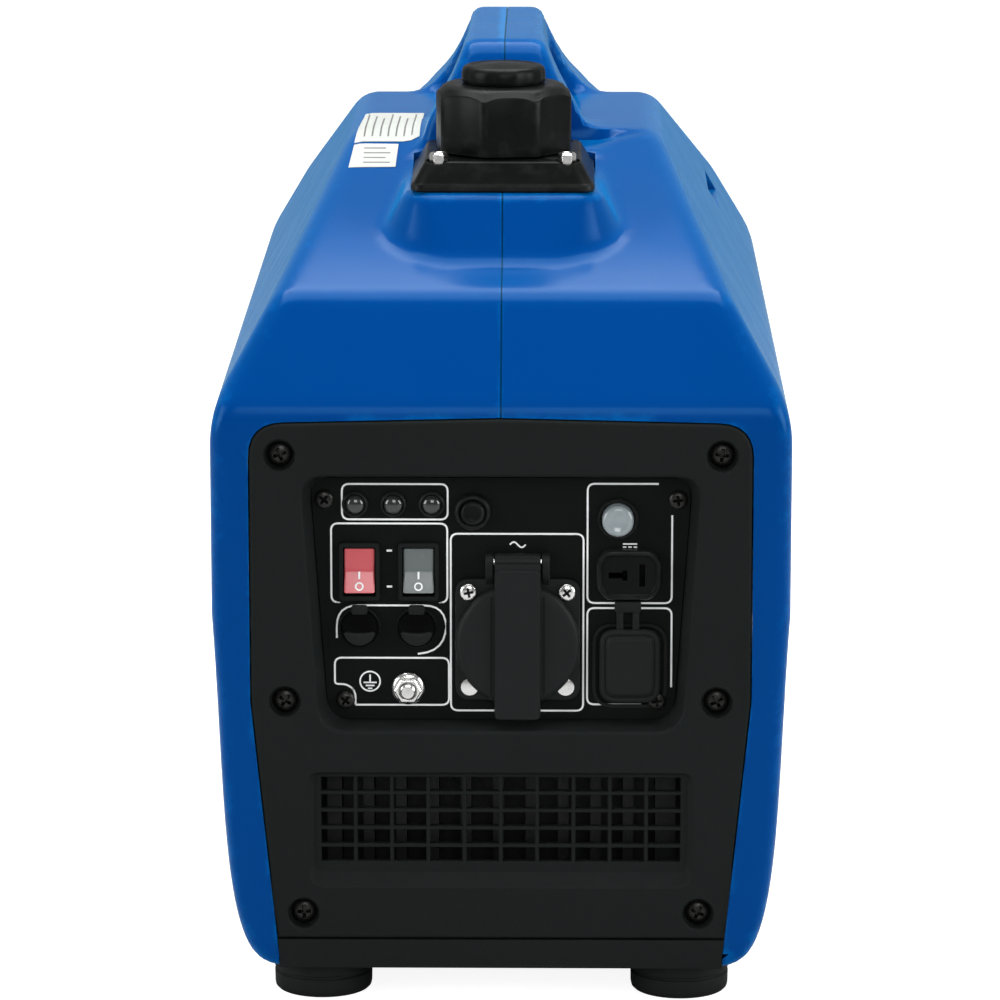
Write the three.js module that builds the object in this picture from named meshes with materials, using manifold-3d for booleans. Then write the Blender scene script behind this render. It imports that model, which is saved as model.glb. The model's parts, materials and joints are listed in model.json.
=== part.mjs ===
// A suitcase inverter generator of about one kilowatt, in millimetres, +Z up.
// The control panel faces -Y, +X is on the right of someone who faces it, and the feet stand on z = 0.
import * as THREE from "three";
import { mergeVertices } from "three/addons/utils/BufferGeometryUtils.js";
import Module from "manifold-3d";

const wasm = await Module();
wasm.setup();

// Driving dimensions of the casing
const LENGTH = 450;
const HALF_WIDTH = 118;
const HEIGHT = 380;
const BASE_Z = 15;
const SHOULDER_Z = 247;
const DECK_Z = 339;
const SHOULDER_SLOPE = 1.755;
const WALL = 3;
const GAP = 0.3;
const FRONT = -LENGTH / 2;
const REAR = LENGTH / 2;

// End openings, base tray and feet
const TRAY_HALF_WIDTH = 91;
const TRAY_LIP_Z = 27;
const PANEL_THICKNESS = 4;
const FOOT_RADIUS = 20.3;
const FOOT_X = 74;
const FOOT_INSET = 25;

// Control plate, at the bottom of the front panel's well
const PLATE_FRONT = 11;
const PLATE_BACK = 14;
const FACE = PLATE_FRONT - GAP;
const LAMP_RADIUS = 4;
const LAMP_X = [-59.4, -43.8, -28.2];
const LAMP_Z = 208;
const SWITCH_X = [-57.7, -33.6];
const SWITCH_Z = 180;
const SWITCH_PIVOT_DEPTH = 13;
const PARALLEL_X = [-57.7, -34.4];
const PARALLEL_Z = 156.5;
const RESET = { x: -11.5, z: 205, radius: 4.9, collar: 7.6 };
const BREAKER = { x: 47.5, z: 202.3, radius: 6.5, collar: 8.4 };
const GROUND = { x: -38, z: 131, radius: 3 };
const AC = { x: 6.8, z: 152, half: 25.4, barrel: 21.5, well: 19, hingeZ: 185, hingeDepth: 7 };
const DC = { x: 52, z: 179.4, halfWidth: 13.1, halfHeight: 10.3 };
const USB = { x: 52.6, z: 141.4, halfWidth: 12.4, halfHeight: 15.4 };

// Fuel filler, centred on the casing
const FILLER_Y = FRONT + 105;
const FLANGE_Z = 327;
const FLANGE_HALF = 38;
const FLANGE_TOP_HALF = 32;
const FLANGE_HEIGHT = 12;
const NECK_RADIUS = 21;
const NECK_TOP = 347.5;
const CAP_BASE = FLANGE_Z + FLANGE_HEIGHT + 1;
const CAP_TOP = 368;
const CROWN_HEIGHT = 3;
const CAP_RADIUS = 29.2;
const CAP_LOBES = 8;
const KNOB_RADIUS = 17.5;
const KNOB_TOP = 376.3;
const KNOB_EDGE = 2.2;

// Handle, along Y above the deck
const HANDLE_BROW = 156;
const HANDLE_CREST = 280;
const FINGER_HOLE = { y: FRONT + 240, halfY: 46 };

// Side covers, in the casing's side walls
const COVER_PROUD = 1.2;
const COVER_INNER = 1.8;

// Crankshaft axis, along X
const CRANK_Y = FRONT + 215;
const CRANK_Z = 112;
const GRIP_Y = CRANK_Y - 47;
const GRIP_Z = 195;
const ROPE_X = -92.5;
const ROPE_RADIUS = 2.2;

const CORNER_STEPS = 4;

const FINISHES = {
  bluePlastic: { color: 0x0a48a4, roughness: 0.36 },
  blackPlastic: { color: 0x1c1f21, roughness: 0.6 },
  redPlastic: { color: 0xb8202c, roughness: 0.3 },
  greyPlastic: { color: 0x4c5254, roughness: 0.4 },
  clearPlastic: { color: 0xc9d0d3, roughness: 0.15 },
  rubber: { color: 0x141414, roughness: 0.85 },
  steel: { color: 0xb9bcc0, roughness: 0.3, metalness: 1 },
  aluminium: { color: 0xa6a9ab, roughness: 0.5, metalness: 1 },
  castIron: { color: 0x45464a, roughness: 0.7, metalness: 0.8 },
  copper: { color: 0x9c5a32, roughness: 0.45, metalness: 0.9 },
  rope: { color: 0x22252a, roughness: 0.9 },
};

// Solids

// A closed three.js geometry as a solid that can be joined and cut.
function solid(geometry) {
  const bare = geometry.clone();
  bare.deleteAttribute("normal");
  bare.deleteAttribute("uv");
  const merged = mergeVertices(bare, 1e-3);
  const mesh = new wasm.Mesh({
    numProp: 3,
    vertProperties: new Float32Array(merged.attributes.position.array),
    triVerts: new Uint32Array(merged.index.array),
  });
  return new wasm.Manifold(mesh);
}

function geometryOf(body) {
  const mesh = body.getMesh();
  const geometry = new THREE.BufferGeometry();
  geometry.setAttribute("position", new THREE.BufferAttribute(mesh.vertProperties, 3));
  geometry.setIndex(new THREE.BufferAttribute(mesh.triVerts, 1));
  geometry.computeVertexNormals();
  return geometry;
}

// A box between two opposite corners.
function box(low, high) {
  const size = high.map((value, i) => value - low[i]);
  const middle = high.map((value, i) => (value + low[i]) / 2);
  return solid(new THREE.BoxGeometry(...size).translate(...middle));
}

// A cylinder or cone along an axis, from one end to the other. The centre gives the other two coordinates.
function rod(axis, centre, from, to, radius, endRadius = radius, sides = 24) {
  const geometry = new THREE.CylinderGeometry(endRadius, radius, to - from, sides);
  const middle = (from + to) / 2;
  if (axis === "X") {
    geometry.rotateZ(-Math.PI / 2).translate(middle, centre[0], centre[1]);
  } else if (axis === "Y") {
    geometry.translate(centre[0], middle, centre[1]);
  } else {
    geometry.rotateX(Math.PI / 2).translate(centre[0], centre[1], middle);
  }
  return solid(geometry);
}

// A flat outline pulled straight along an axis. Outlines are (y, z) along X, (x, z) along Y and (x, y) along Z.
function slab(axis, outline, from, to) {
  const shape = new THREE.Shape(outline.map(([u, v]) => new THREE.Vector2(u, v)));
  const geometry = new THREE.ExtrudeGeometry(shape, { depth: to - from, bevelEnabled: false });
  const x = new THREE.Vector3(1, 0, 0);
  const y = new THREE.Vector3(0, 1, 0);
  const z = new THREE.Vector3(0, 0, 1);
  const frame = new THREE.Matrix4();
  if (axis === "X") {
    geometry.translate(0, 0, from);
    frame.makeBasis(y, z, x);
  } else if (axis === "Y") {
    geometry.translate(0, 0, -to);
    frame.makeBasis(x, z, y.negate());
  } else {
    geometry.translate(0, 0, from);
  }
  return solid(geometry.applyMatrix4(frame));
}

// A closed outline through corners [u, v, reach]. Each corner is rounded off over its reach.
function rounded(corners) {
  const outline = [];
  corners.forEach(([u, v, reach = 0], i) => {
    const corner = new THREE.Vector2(u, v);
    if (reach === 0) {
      outline.push([u, v]);
      return;
    }
    const before = new THREE.Vector2(...corners.at(i - 1)).sub(corner).setLength(reach);
    const after = new THREE.Vector2(...corners[(i + 1) % corners.length]).sub(corner).setLength(reach);
    const bend = new THREE.QuadraticBezierCurve(before.add(corner), corner, after.add(corner));
    bend.getPoints(CORNER_STEPS).forEach((point) => outline.push([point.x, point.y]));
  });
  return outline;
}

// A rectangle about a middle point, with rounded corners.
function rectangle(u, v, halfU, halfV, reach = 0) {
  return rounded([
    [u - halfU, v - halfV, reach],
    [u + halfU, v - halfV, reach],
    [u + halfU, v + halfV, reach],
    [u - halfU, v + halfV, reach],
  ]);
}

// Moves every edge of an anticlockwise outline inwards by a distance, or outwards by a negative one.
function inset(outline, distance) {
  const inward = ([u0, v0], [u1, v1]) => new THREE.Vector2(v0 - v1, u1 - u0).normalize();
  return outline.map((point, i) => {
    const before = inward(outline.at(i - 1), point);
    const after = inward(point, outline[(i + 1) % outline.length]);
    const share = distance / (1 + before.dot(after));
    return [point[0] + (before.x + after.x) * share, point[1] + (before.y + after.y) * share];
  });
}

// A right-hand outline, bottom to top, closed by its mirror image.
function mirrored(rightSide) {
  const leftSide = rightSide.map(([u, ...rest]) => [-u, ...rest]).reverse();
  return [...rightSide, ...leftSide];
}

// A straight-sided pyramid or cone frustum on a flat outline about a centre, scaled at its top.
function frustum(outline, [x, y], from, to, topScale) {
  const shape = new THREE.Shape(outline.map(([u, v]) => new THREE.Vector2(u, v)));
  const geometry = new THREE.ExtrudeGeometry(shape, { depth: to - from, bevelEnabled: false });
  const position = geometry.attributes.position;
  for (let i = 0; i < position.count; i += 1) {
    if (position.getZ(i) > 0) {
      position.setX(i, position.getX(i) * topScale);
      position.setY(i, position.getY(i) * topScale);
    }
  }
  return solid(geometry.translate(x, y, from));
}

const joined = (bodies) => bodies.reduce((whole, body) => whole.add(body));
const cut = (body, tools) => tools.reduce((left, tool) => left.subtract(tool), body);

// A tube along an axis: a rod with a bore right through.
function tube(axis, centre, from, to, radius, bore, sides = 24) {
  return rod(axis, centre, from, to, radius, radius, sides).subtract(
    rod(axis, centre, from - 1, to + 1, bore, bore, sides),
  );
}

// The scene graph

const generator = new THREE.Group();

function add(parent, name, body, finish, position = [0, 0, 0]) {
  const material = new THREE.MeshStandardMaterial(FINISHES[finish]);
  const mesh = new THREE.Mesh(geometryOf(body), material);
  mesh.name = name;
  mesh.position.set(...position);
  parent.add(mesh);
}

function assembly() {
  const group = new THREE.Group();
  generator.add(group);
  return group;
}

// Casing outlines

// Section across the casing: a rolled-in lower edge, upright sides and straight sloping shoulders.
function section() {
  const lowerSide = new THREE.CubicBezierCurve(
    new THREE.Vector2(94, BASE_Z),
    new THREE.Vector2(116, 17),
    new THREE.Vector2(113, 90),
    new THREE.Vector2(HALF_WIDTH, 163),
  );
  const deckHalfWidth = HALF_WIDTH - (DECK_Z - SHOULDER_Z) / SHOULDER_SLOPE;
  const right = lowerSide.getPoints(8).map((point) => [point.x, point.y]);
  return mirrored([...right, [HALF_WIDTH, SHOULDER_Z], [deckHalfWidth, DECK_Z]]);
}

// Side view of the casing: upright ends, a steep brow, a long slope to the deck and a shorter one behind.
function profile() {
  return [
    [FRONT, BASE_Z],
    [REAR, BASE_Z],
    [REAR, SHOULDER_Z],
    [REAR - 27, 291.6],
    [REAR - 79, 311],
    [REAR - 150, DECK_Z],
    [FRONT + 168, DECK_Z],
    [FRONT + 79, 311.8],
    [FRONT + 27, 291.6],
    [FRONT, SHOULDER_Z],
  ];
}

// The casing's outer form, with every face moved inwards by a depth.
function bodyBlock(depth) {
  const plan = inset(rectangle(0, 0, HALF_WIDTH, LENGTH / 2, 14), depth);
  return slab("Y", inset(section(), depth), FRONT + depth, REAR - depth)
    .intersect(slab("X", inset(profile(), depth), -HALF_WIDTH, HALF_WIDTH))
    .intersect(slab("Z", plan, 0, HEIGHT));
}

// The openings at both ends, which the panels and the tray's lips fill.
function endOutline() {
  return rounded(
    mirrored([
      [90.5, BASE_Z],
      [97, 78],
      [102, 128],
      [102, 243.2, 14],
      [0.5, 245.4],
    ]),
  );
}

const SIDE_COVER = [
  [FRONT + 66, 56, 16],
  [FRONT + 386, 56, 16],
  [FRONT + 386, 234, 16],
  [FRONT + 66, 234, 16],
];
const SERVICE_COVER = [
  [FRONT + 120, 62, 14],
  [FRONT + 330, 62, 14],
  [FRONT + 330, 222, 14],
  [FRONT + 120, 222, 14],
];

// A cover that follows the casing's side: the outline's part of a thin layer of the section.
function sideSkin(corners, side) {
  const layer = slab("Y", inset(section(), -COVER_PROUD), FRONT, REAR).subtract(
    slab("Y", inset(section(), COVER_INNER), FRONT - 1, REAR + 1),
  );
  const reach = [side * 60, side * (HALF_WIDTH + 9)].sort((a, b) => a - b);
  return layer.intersect(slab("X", rounded(corners), ...reach));
}

// Casing halves with the handle

// The arch of the handle, which is wider at its front end and narrow around the finger hole.
function handleBlock() {
  const flanks = slab(
    "Y",
    mirrored([
      [46, 330],
      [38, 338],
      [28.5, 349.5],
      [21.8, 360],
      [17.3, 371],
      [15.5, 376.5],
      [12, HEIGHT],
    ]),
    FRONT,
    REAR,
  );
  const arch = slab(
    "X",
    rounded([
      [FRONT + 145, 300],
      [FRONT + 340, 300],
      [FRONT + 334, DECK_Z],
      [FRONT + 318, 354, 10],
      [FRONT + 302, 368, 10],
      [FRONT + HANDLE_CREST, HEIGHT, 12],
      [FRONT + HANDLE_BROW, 379, 8],
      [FRONT + 145, 362, 6],
    ]),
    -60,
    60,
  );
  const spread = 0.12 / (HANDLE_CREST - HANDLE_BROW);
  const block = arch.intersect(flanks).warp((vertex) => {
    vertex[0] *= 1 + spread * Math.max(0, FRONT + HANDLE_CREST - vertex[1]);
  });
  const waist = [-1, 1].map((side) => {
    const outline = rectangle(FINGER_HOLE.y, 358, FINGER_HOLE.halfY - 2, 32, 16);
    const reach = [side * 19, side * 60].sort((a, b) => a - b);
    return slab("X", outline, ...reach);
  });
  return cut(block, waist);
}

// The scooped deck under the handle, which gives the fingers room.
function fingerScoop(growth) {
  const outline = [
    [-24 - growth, 326 - growth],
    [24 + growth, 326 - growth],
    [30 + growth, DECK_Z + 1],
    [-30 - growth, DECK_Z + 1],
  ];
  const reach = FINGER_HOLE.halfY + 1 + growth;
  return slab("Y", outline, FINGER_HOLE.y - reach, FINGER_HOLE.y + reach);
}

function casing() {
  const pedestal = frustum(rectangle(0, 0, 56, 58, 44), [0, FILLER_Y], 286, FLANGE_Z, 0.74);
  const seat = FLANGE_HALF + 1;
  const flangeSeat = box([-seat, FILLER_Y - seat, FLANGE_Z], [seat, FILLER_Y + seat, HEIGHT]);
  const fingerHole = slab("X", rectangle(FINGER_HOLE.y, 343, FINGER_HOLE.halfY, 15, 10), -70, 70);
  const outside = cut(bodyBlock(0).add(pedestal), [fingerScoop(0)])
    .add(cut(handleBlock(), [fingerHole]))
    .subtract(flangeSeat);
  const cavity = bodyBlock(WALL).subtract(fingerScoop(WALL));
  const ends = inset(endOutline(), -GAP);
  const floor = box([-TRAY_HALF_WIDTH - GAP, FRONT - 1, 0], [TRAY_HALF_WIDTH + GAP, REAR + 1, BASE_Z + 4]);
  const chamferVent = box([84, FRONT + 288, 286], [104, FRONT + 344, 295]);
  return cut(outside, [
    cavity,
    slab("Y", ends, FRONT - 1, FRONT + WALL + 1),
    slab("Y", ends, REAR - WALL - 1, REAR + 1),
    floor,
    chamferVent,
    rod("Z", [0, FILLER_Y], 280, HEIGHT, NECK_RADIUS + 2),
    slab("X", inset(rounded(SIDE_COVER), -GAP), -HALF_WIDTH - 9, -60),
    slab("X", inset(rounded(SERVICE_COVER), -GAP), 60, HALF_WIDTH + 9),
  ]);
}

function addCasing() {
  const group = assembly();
  const whole = casing();
  const far = [LENGTH, LENGTH, HEIGHT + 1];
  const right = box([GAP / 2, -far[1], 0], far);
  const left = box([-far[0], -far[1], 0], [-GAP / 2, far[1], far[2]]);
  add(group, "casing_left", whole.intersect(left), "bluePlastic");
  add(group, "casing_right", whole.intersect(right), "bluePlastic");
}

// Ends, tray and feet

const aboveTray = () => box([-HALF_WIDTH, -LENGTH, TRAY_LIP_Z + GAP], [HALF_WIDTH, LENGTH, HEIGHT]);

function recess() {
  return rounded([
    [-73.5, 115.6, 9],
    [73.5, 115.6, 9],
    [81, 221.2, 9],
    [-81, 221.2, 9],
  ]);
}

const RECESS_MIDDLE = 168.4;
const RECESS_DRAFT = 0.037;

// The recess outline at the depth of the control plate, smaller by the draft of its walls.
function recessFloor(growth = 0) {
  const outline = recess().map(([x, z]) => [
    x * (1 - RECESS_DRAFT),
    RECESS_MIDDLE + (z - RECESS_MIDDLE) * (1 - RECESS_DRAFT),
  ]);
  return growth ? inset(outline, -growth) : outline;
}

// The space inside the drafted walls, open at the front, and straight behind the plate's front face.
function recessSpace() {
  const outline = recessFloor().map(([x, z]) => [x, z - RECESS_MIDDLE]);
  const over = 1 + (RECESS_DRAFT / (1 - RECESS_DRAFT)) * ((PLATE_FRONT + 1) / PLATE_FRONT);
  const mouth = frustum(outline, [0, 0], -PLATE_FRONT, 1, over).rotate([90, 0, 0]);
  const straight = slab("Y", recessFloor(), FRONT + PLATE_FRONT - 0.1, FRONT + PLATE_BACK + 1);
  return mouth.translate([0, FRONT, RECESS_MIDDLE]).add(straight);
}

const GRILLE = { halfWidth: 76, low: 57, high: 98, columns: 10, rows: 5, bar: 2, rim: 2.2 };

function frontPanel() {
  const grilleMiddle = (GRILLE.low + GRILLE.high) / 2;
  const grilleHalf = (GRILLE.high - GRILLE.low) / 2;
  const well = slab("Y", inset(recess(), -2.5), FRONT + 1, FRONT + PLATE_BACK);
  const face = slab("Y", endOutline(), FRONT, FRONT + PANEL_THICKNESS).add(well);
  const window = rectangle(0, grilleMiddle, GRILLE.halfWidth + GAP, grilleHalf + GAP, 2);
  return cut(face, [
    recessSpace(),
    slab("Y", window, FRONT - 1, FRONT + PANEL_THICKNESS + 1),
  ]).intersect(aboveTray());
}

function frontGrille() {
  const middle = (GRILLE.low + GRILLE.high) / 2;
  const half = (GRILLE.high - GRILLE.low) / 2;
  const plate = slab("Y", rectangle(0, middle, GRILLE.halfWidth, half, 2), FRONT + 1.5, FRONT + 5.5);
  const pitchX = (2 * (GRILLE.halfWidth - GRILLE.rim) + GRILLE.bar) / GRILLE.columns;
  const pitchZ = (2 * (half - GRILLE.rim) + GRILLE.bar) / GRILLE.rows;
  const holes = [];
  for (let column = 0; column < GRILLE.columns; column += 1) {
    for (let row = 0; row < GRILLE.rows; row += 1) {
      const x = -GRILLE.halfWidth + GRILLE.rim + column * pitchX;
      const z = GRILLE.low + GRILLE.rim + row * pitchZ;
      holes.push(box([x, FRONT, z], [x + pitchX - GRILLE.bar, FRONT + 7, z + pitchZ - GRILLE.bar]));
    }
  }
  return cut(plate, holes);
}

const TAIL = { x: -45, z: 190, radius: 11 };

function rearPanel() {
  const face = slab("Y", endOutline(), REAR - PANEL_THICKNESS, REAR).intersect(aboveTray());
  const louvres = [];
  for (let row = 0; row < 8; row += 1) {
    const z = 52 + row * 13;
    louvres.push(box([-78, REAR - 6, z], [78, REAR + 1, z + 7]));
  }
  return cut(face, [...louvres, rod("Y", [TAIL.x, TAIL.z], REAR - 6, REAR + 1, TAIL.radius + 4)]);
}

// The pan under everything, with a lip at each end and four posts under the engine.
function baseTray() {
  const floor = box([-TRAY_HALF_WIDTH, FRONT, BASE_Z], [TRAY_HALF_WIDTH, REAR, BASE_Z + 3.5]);
  const lipHeight = box([-HALF_WIDTH, -LENGTH, 0], [HALF_WIDTH, LENGTH, TRAY_LIP_Z]);
  const lips = [FRONT, REAR - PANEL_THICKNESS].map((y) => {
    return slab("Y", endOutline(), y, y + PANEL_THICKNESS).intersect(lipHeight);
  });
  const posts = [-22, 22].flatMap((x) =>
    [-34, 34].map((y) => rod("Z", [x, CRANK_Y + y], BASE_Z + 1, 60 - GAP, 9, 7, 16)),
  );
  return joined([floor, ...lips, ...posts]);
}

function foot() {
  const edge = new THREE.EllipseCurve(FOOT_RADIUS - 1.6, 1.6, 1.6, 1.6, -Math.PI / 2, 0).getPoints(2);
  const top = new THREE.Vector2(FOOT_RADIUS, BASE_Z - GAP);
  const points = [new THREE.Vector2(0, 0), ...edge, top, new THREE.Vector2(0, BASE_Z - GAP)];
  return solid(new THREE.LatheGeometry(points, 20).rotateX(Math.PI / 2));
}

function addEndsAndBase() {
  const group = assembly();
  add(group, "front_panel", frontPanel(), "blackPlastic");
  add(group, "front_grille", frontGrille(), "blackPlastic");
  add(group, "rear_panel", rearPanel(), "blackPlastic");
  add(group, "base_tray", baseTray(), "blackPlastic");
  for (const [sideName, x] of [["left", -FOOT_X], ["right", FOOT_X]]) {
    for (const [endName, y] of [["front", FRONT + FOOT_INSET], ["rear", REAR - FOOT_INSET]]) {
      add(group, `foot_${endName}_${sideName}`, foot(), "rubber", [x, y, 0]);
    }
  }
}

// Control panel

const plateHole = (x, z, radius, sides = 16) => {
  return rod("Y", [x, z], FRONT + PLATE_FRONT - 1, FRONT + PLATE_BACK + 1, radius + GAP, radius + GAP, sides);
};
const plateWindow = (x, z, halfX, halfZ) => {
  const outline = rectangle(x, z, halfX + GAP, halfZ + GAP);
  return slab("Y", outline, FRONT + PLATE_FRONT - 1, FRONT + PLATE_BACK + 1);
};

const SWITCH = { halfWidth: 7.2, halfHeight: 11, pocketHalfWidth: 6.6, pocketHalfHeight: 10.2 };

function controlPlate() {
  const sheet = slab("Y", recessFloor(-GAP), FRONT + PLATE_FRONT, FRONT + PLATE_BACK);
  return cut(sheet, [
    ...LAMP_X.map((x) => plateHole(x, LAMP_Z, LAMP_RADIUS, 12)),
    ...SWITCH_X.map((x) => plateWindow(x, SWITCH_Z, SWITCH.halfWidth, SWITCH.halfHeight)),
    ...PARALLEL_X.map((x) => plateHole(x, PARALLEL_Z, 5.4, 12)),
    plateHole(RESET.x, RESET.z, 6.2),
    plateHole(BREAKER.x, BREAKER.z, 7.6),
    plateHole(GROUND.x, GROUND.z, GROUND.radius, 12),
    plateHole(AC.x, AC.z, AC.barrel, 24),
    plateWindow(DC.x, DC.z, 10, 8.3),
    plateWindow(USB.x, USB.z, 10, 12),
  ]);
}

// A push-fit rocker switch: its bezel with the open box behind it.
function switchBezel() {
  const frame = slab("Y", rectangle(0, 0, 8.2, 12, 1.5), 9, FACE);
  const body = slab("Y", rectangle(0, 0, SWITCH.halfWidth, SWITCH.halfHeight), FACE - 0.5, 26);
  const pocket = rectangle(0, 0, SWITCH.pocketHalfWidth, SWITCH.pocketHalfHeight);
  return cut(frame.add(body), [slab("Y", pocket, 8, 21)]);
}

// A rocker with a shallow V front, tipped so that its upper end is pressed in.
function rocker() {
  const outline = [
    [-4.8, -9.2],
    [3, -6.4],
    [4.4, 0],
    [3, 6.4],
    [-4.8, 9.2],
    [-3.2, 0],
  ];
  const body = slab("X", outline, -6.3, 6.3);
  return body.rotate([-8, 0, 0]);
}

function lampLens() {
  const dome = new THREE.EllipseCurve(0, 0, LAMP_RADIUS, 2, Math.PI / 2, 0, true).getPoints(2);
  const shank = [new THREE.Vector2(LAMP_RADIUS, -11), new THREE.Vector2(0, -11)];
  const turned = new THREE.LatheGeometry([...shank.reverse(), ...dome.reverse()], 12);
  return solid(turned.rotateX(Math.PI));
}

// A collar whose stem goes through the plate, around a push button.
function buttonCollar(radius, stem, bore, front) {
  const flange = rod("Y", [0, 0], front, FACE, radius - 0.8, radius, 20);
  const shank = rod("Y", [0, 0], FACE - 0.5, 24, stem, stem, 20);
  return cut(flange.add(shank), [rod("Y", [0, 0], 0, 30, bore, bore, 20)]);
}

// A flanged nut on an upright bolt end.
function groundNut() {
  const flange = rod("Y", [0, 0], 9.2, FACE, 6, 6.8, 24);
  const hexagon = rod("Y", [0, 0], 5, 9.4, 5.8, 5.8, 6);
  return cut(flange.add(hexagon), [rod("Y", [0, 0], 0, 12, GROUND.radius + GAP, GROUND.radius + GAP, 12)]);
}

function groundBolt() {
  const shank = rod("Y", [0, 0], 2.6, 16, GROUND.radius, GROUND.radius, 12);
  const head = rod("Y", [0, 0], PLATE_BACK + GAP, PLATE_BACK + 4, 5.8, 5.8, 6);
  return shank.add(head);
}

// Low-current socket for joining two generators: a flange, a barrel and an open bore.
function parallelSocket() {
  const flange = rod("Y", [0, 0], 9, FACE, 7, 7, 16);
  const barrel = rod("Y", [0, 0], FACE - 0.5, 30, 5.2, 5.2, 12);
  return cut(flange.add(barrel), [rod("Y", [0, 0], 8, 22, 3, 3, 8)]);
}

function parallelFlap() {
  const disc = rod("Y", [0, 0], 5.9, 8.7, 6.6, 7.4, 20);
  return disc.add(box([-3.5, 6.2, 5], [3.5, 8.7, 9.6]));
}

function acSocketBody() {
  const flange = slab("Y", rectangle(0, 0, AC.half, AC.half, 4), 8.2, FACE);
  const barrel = rod("Y", [0, 0], FACE - 0.5, 44, AC.barrel, AC.barrel, 24);
  const hingeZ = AC.hingeZ - AC.z;
  const lugs = [-1, 1].map((side) => {
    const reach = [side * 9.7, side * 13.1].sort((a, b) => a - b);
    return box([reach[0], 3.4, hingeZ - 10], [reach[1], FACE, hingeZ + 3.6]);
  });
  const bridge = box([-13.1, 8.2, AC.half - 3], [13.1, FACE, hingeZ - 4.4]);
  return cut(joined([flange, barrel, bridge, ...lugs]), [
    rod("Y", [0, 0], 0, 26, AC.well, AC.well, 24),
    rod("X", [AC.hingeDepth, hingeZ], -20, 20, 1.3 + GAP, 1.3 + GAP, 12),
  ]);
}

// Spring lid: a round cover under a long tongue, with a knuckle around the hinge pin.
function acSocketLid() {
  const hingeZ = AC.hingeZ - AC.z;
  const disc = rod("Y", [0, -1.5], 3.6, 7.8, 24.6, 25.6, 32);
  const tongue = slab("Y", rectangle(0, (hingeZ - AC.half - 7) / 2 + 0.5, 9.4, 32, 2), 0.8, 5);
  const knuckle = rod("X", [AC.hingeDepth, hingeZ], -9.4, 9.4, 3.4, 3.4, 16);
  const arm = box([-9.4, 1.6, hingeZ - 9], [9.4, 6, hingeZ]);
  return cut(joined([disc, tongue, knuckle, arm]), [
    rod("X", [AC.hingeDepth, hingeZ], -20, 20, 1.3 + GAP, 1.3 + GAP, 12),
  ]);
}

function dcSocket() {
  const face = slab("Y", rectangle(0, 0, DC.halfWidth, DC.halfHeight, 5), 6, FACE);
  const body = slab("Y", rectangle(0, 0, 10, 8.3), FACE - 0.5, 30);
  return cut(face.add(body), [
    box([-8, 5, -1.2], [-1, 16, 1.2]),
    box([-2.4, 5, -4.2], [-0.4, 16, 4.2]),
    box([4.4, 5, -4.6], [6.6, 16, 4.6]),
  ]);
}

function usbSocket() {
  const face = slab("Y", rectangle(0, 0, 11.6, 14, 3), 9, FACE);
  const body = slab("Y", rectangle(0, 0, 10, 12), FACE - 0.5, 30);
  return cut(face.add(body), [box([-6.5, 8, 2.5], [6.5, 22, 7.5]), box([-6.5, 8, -7.5], [6.5, 22, -2.5])]);
}

// Rubber cover on two straps, which are its hinge.
function usbCover() {
  const pad = slab("Y", rectangle(0, 0, USB.halfWidth, USB.halfHeight, 5), 4.5, 8.7);
  const straps = [-5.6, 0.9].map((x) => box([x, 6.4, USB.halfHeight - 3], [x + 3, 8.7, 25]));
  const root = slab("Y", rectangle(-0.9, 24.8, 5.4, 2.2, 1), 6, 8.7);
  return joined([pad, ...straps, root]);
}

function addControls() {
  const group = assembly();
  group.position.y = FRONT;
  add(generator, "control_plate", controlPlate(), "blackPlastic");
  ["lamp_oil", "lamp_overload", "lamp_output"].forEach((name, i) => {
    add(group, name, lampLens(), "clearPlastic", [LAMP_X[i], 9.4, LAMP_Z]);
  });
  [["engine_switch", "redPlastic"], ["eco_switch", "greyPlastic"]].forEach(([name, finish], i) => {
    add(group, `${name}_bezel`, switchBezel(), "blackPlastic", [SWITCH_X[i], 0, SWITCH_Z]);
    add(group, `${name}_rocker`, rocker(), finish, [SWITCH_X[i], SWITCH_PIVOT_DEPTH, SWITCH_Z]);
  });
  PARALLEL_X.forEach((x, i) => {
    add(group, `parallel_socket_${i + 1}`, parallelSocket(), "blackPlastic", [x, 0, PARALLEL_Z]);
    add(group, `parallel_flap_${i + 1}`, parallelFlap(), "rubber", [x, 0, PARALLEL_Z]);
  });
  const resetButton = rod("Y", [0, 0], 5.6, 20, RESET.radius);
  const breakerButton = rod("Y", [0, 0], 3.4, 20, BREAKER.radius);
  const reset = [RESET.x, 0, RESET.z];
  const breaker = [BREAKER.x, 0, BREAKER.z];
  add(group, "ac_reset_collar", buttonCollar(RESET.collar, 6.2, 5.2, 7.6), "blackPlastic", reset);
  add(group, "ac_reset_button", resetButton, "blackPlastic", reset);
  add(group, "dc_breaker_collar", buttonCollar(BREAKER.collar, 7.6, 6.8, 8.4), "blackPlastic", breaker);
  add(group, "dc_breaker_button", breakerButton, "clearPlastic", breaker);
  add(group, "ground_bolt", groundBolt(), "steel", [GROUND.x, 0, GROUND.z]);
  add(group, "ground_nut", groundNut(), "steel", [GROUND.x, 0, GROUND.z]);
  const socket = [AC.x, 0, AC.z];
  const pin = rod("X", [AC.hingeDepth, AC.hingeZ - AC.z], -13.1, 13.1, 1.3, 1.3, 12);
  add(group, "ac_socket_body", acSocketBody(), "blackPlastic", socket);
  add(group, "ac_socket_lid", acSocketLid(), "blackPlastic", socket);
  add(group, "ac_hinge_pin", pin, "steel", socket);
  add(group, "dc_socket", dcSocket(), "blackPlastic", [DC.x, 0, DC.z]);
  add(group, "usb_socket", usbSocket(), "blackPlastic", [USB.x, 0, USB.z]);
  add(group, "usb_cover", usbCover(), "rubber", [USB.x, 0, USB.z]);
}

// Fuel system

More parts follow.
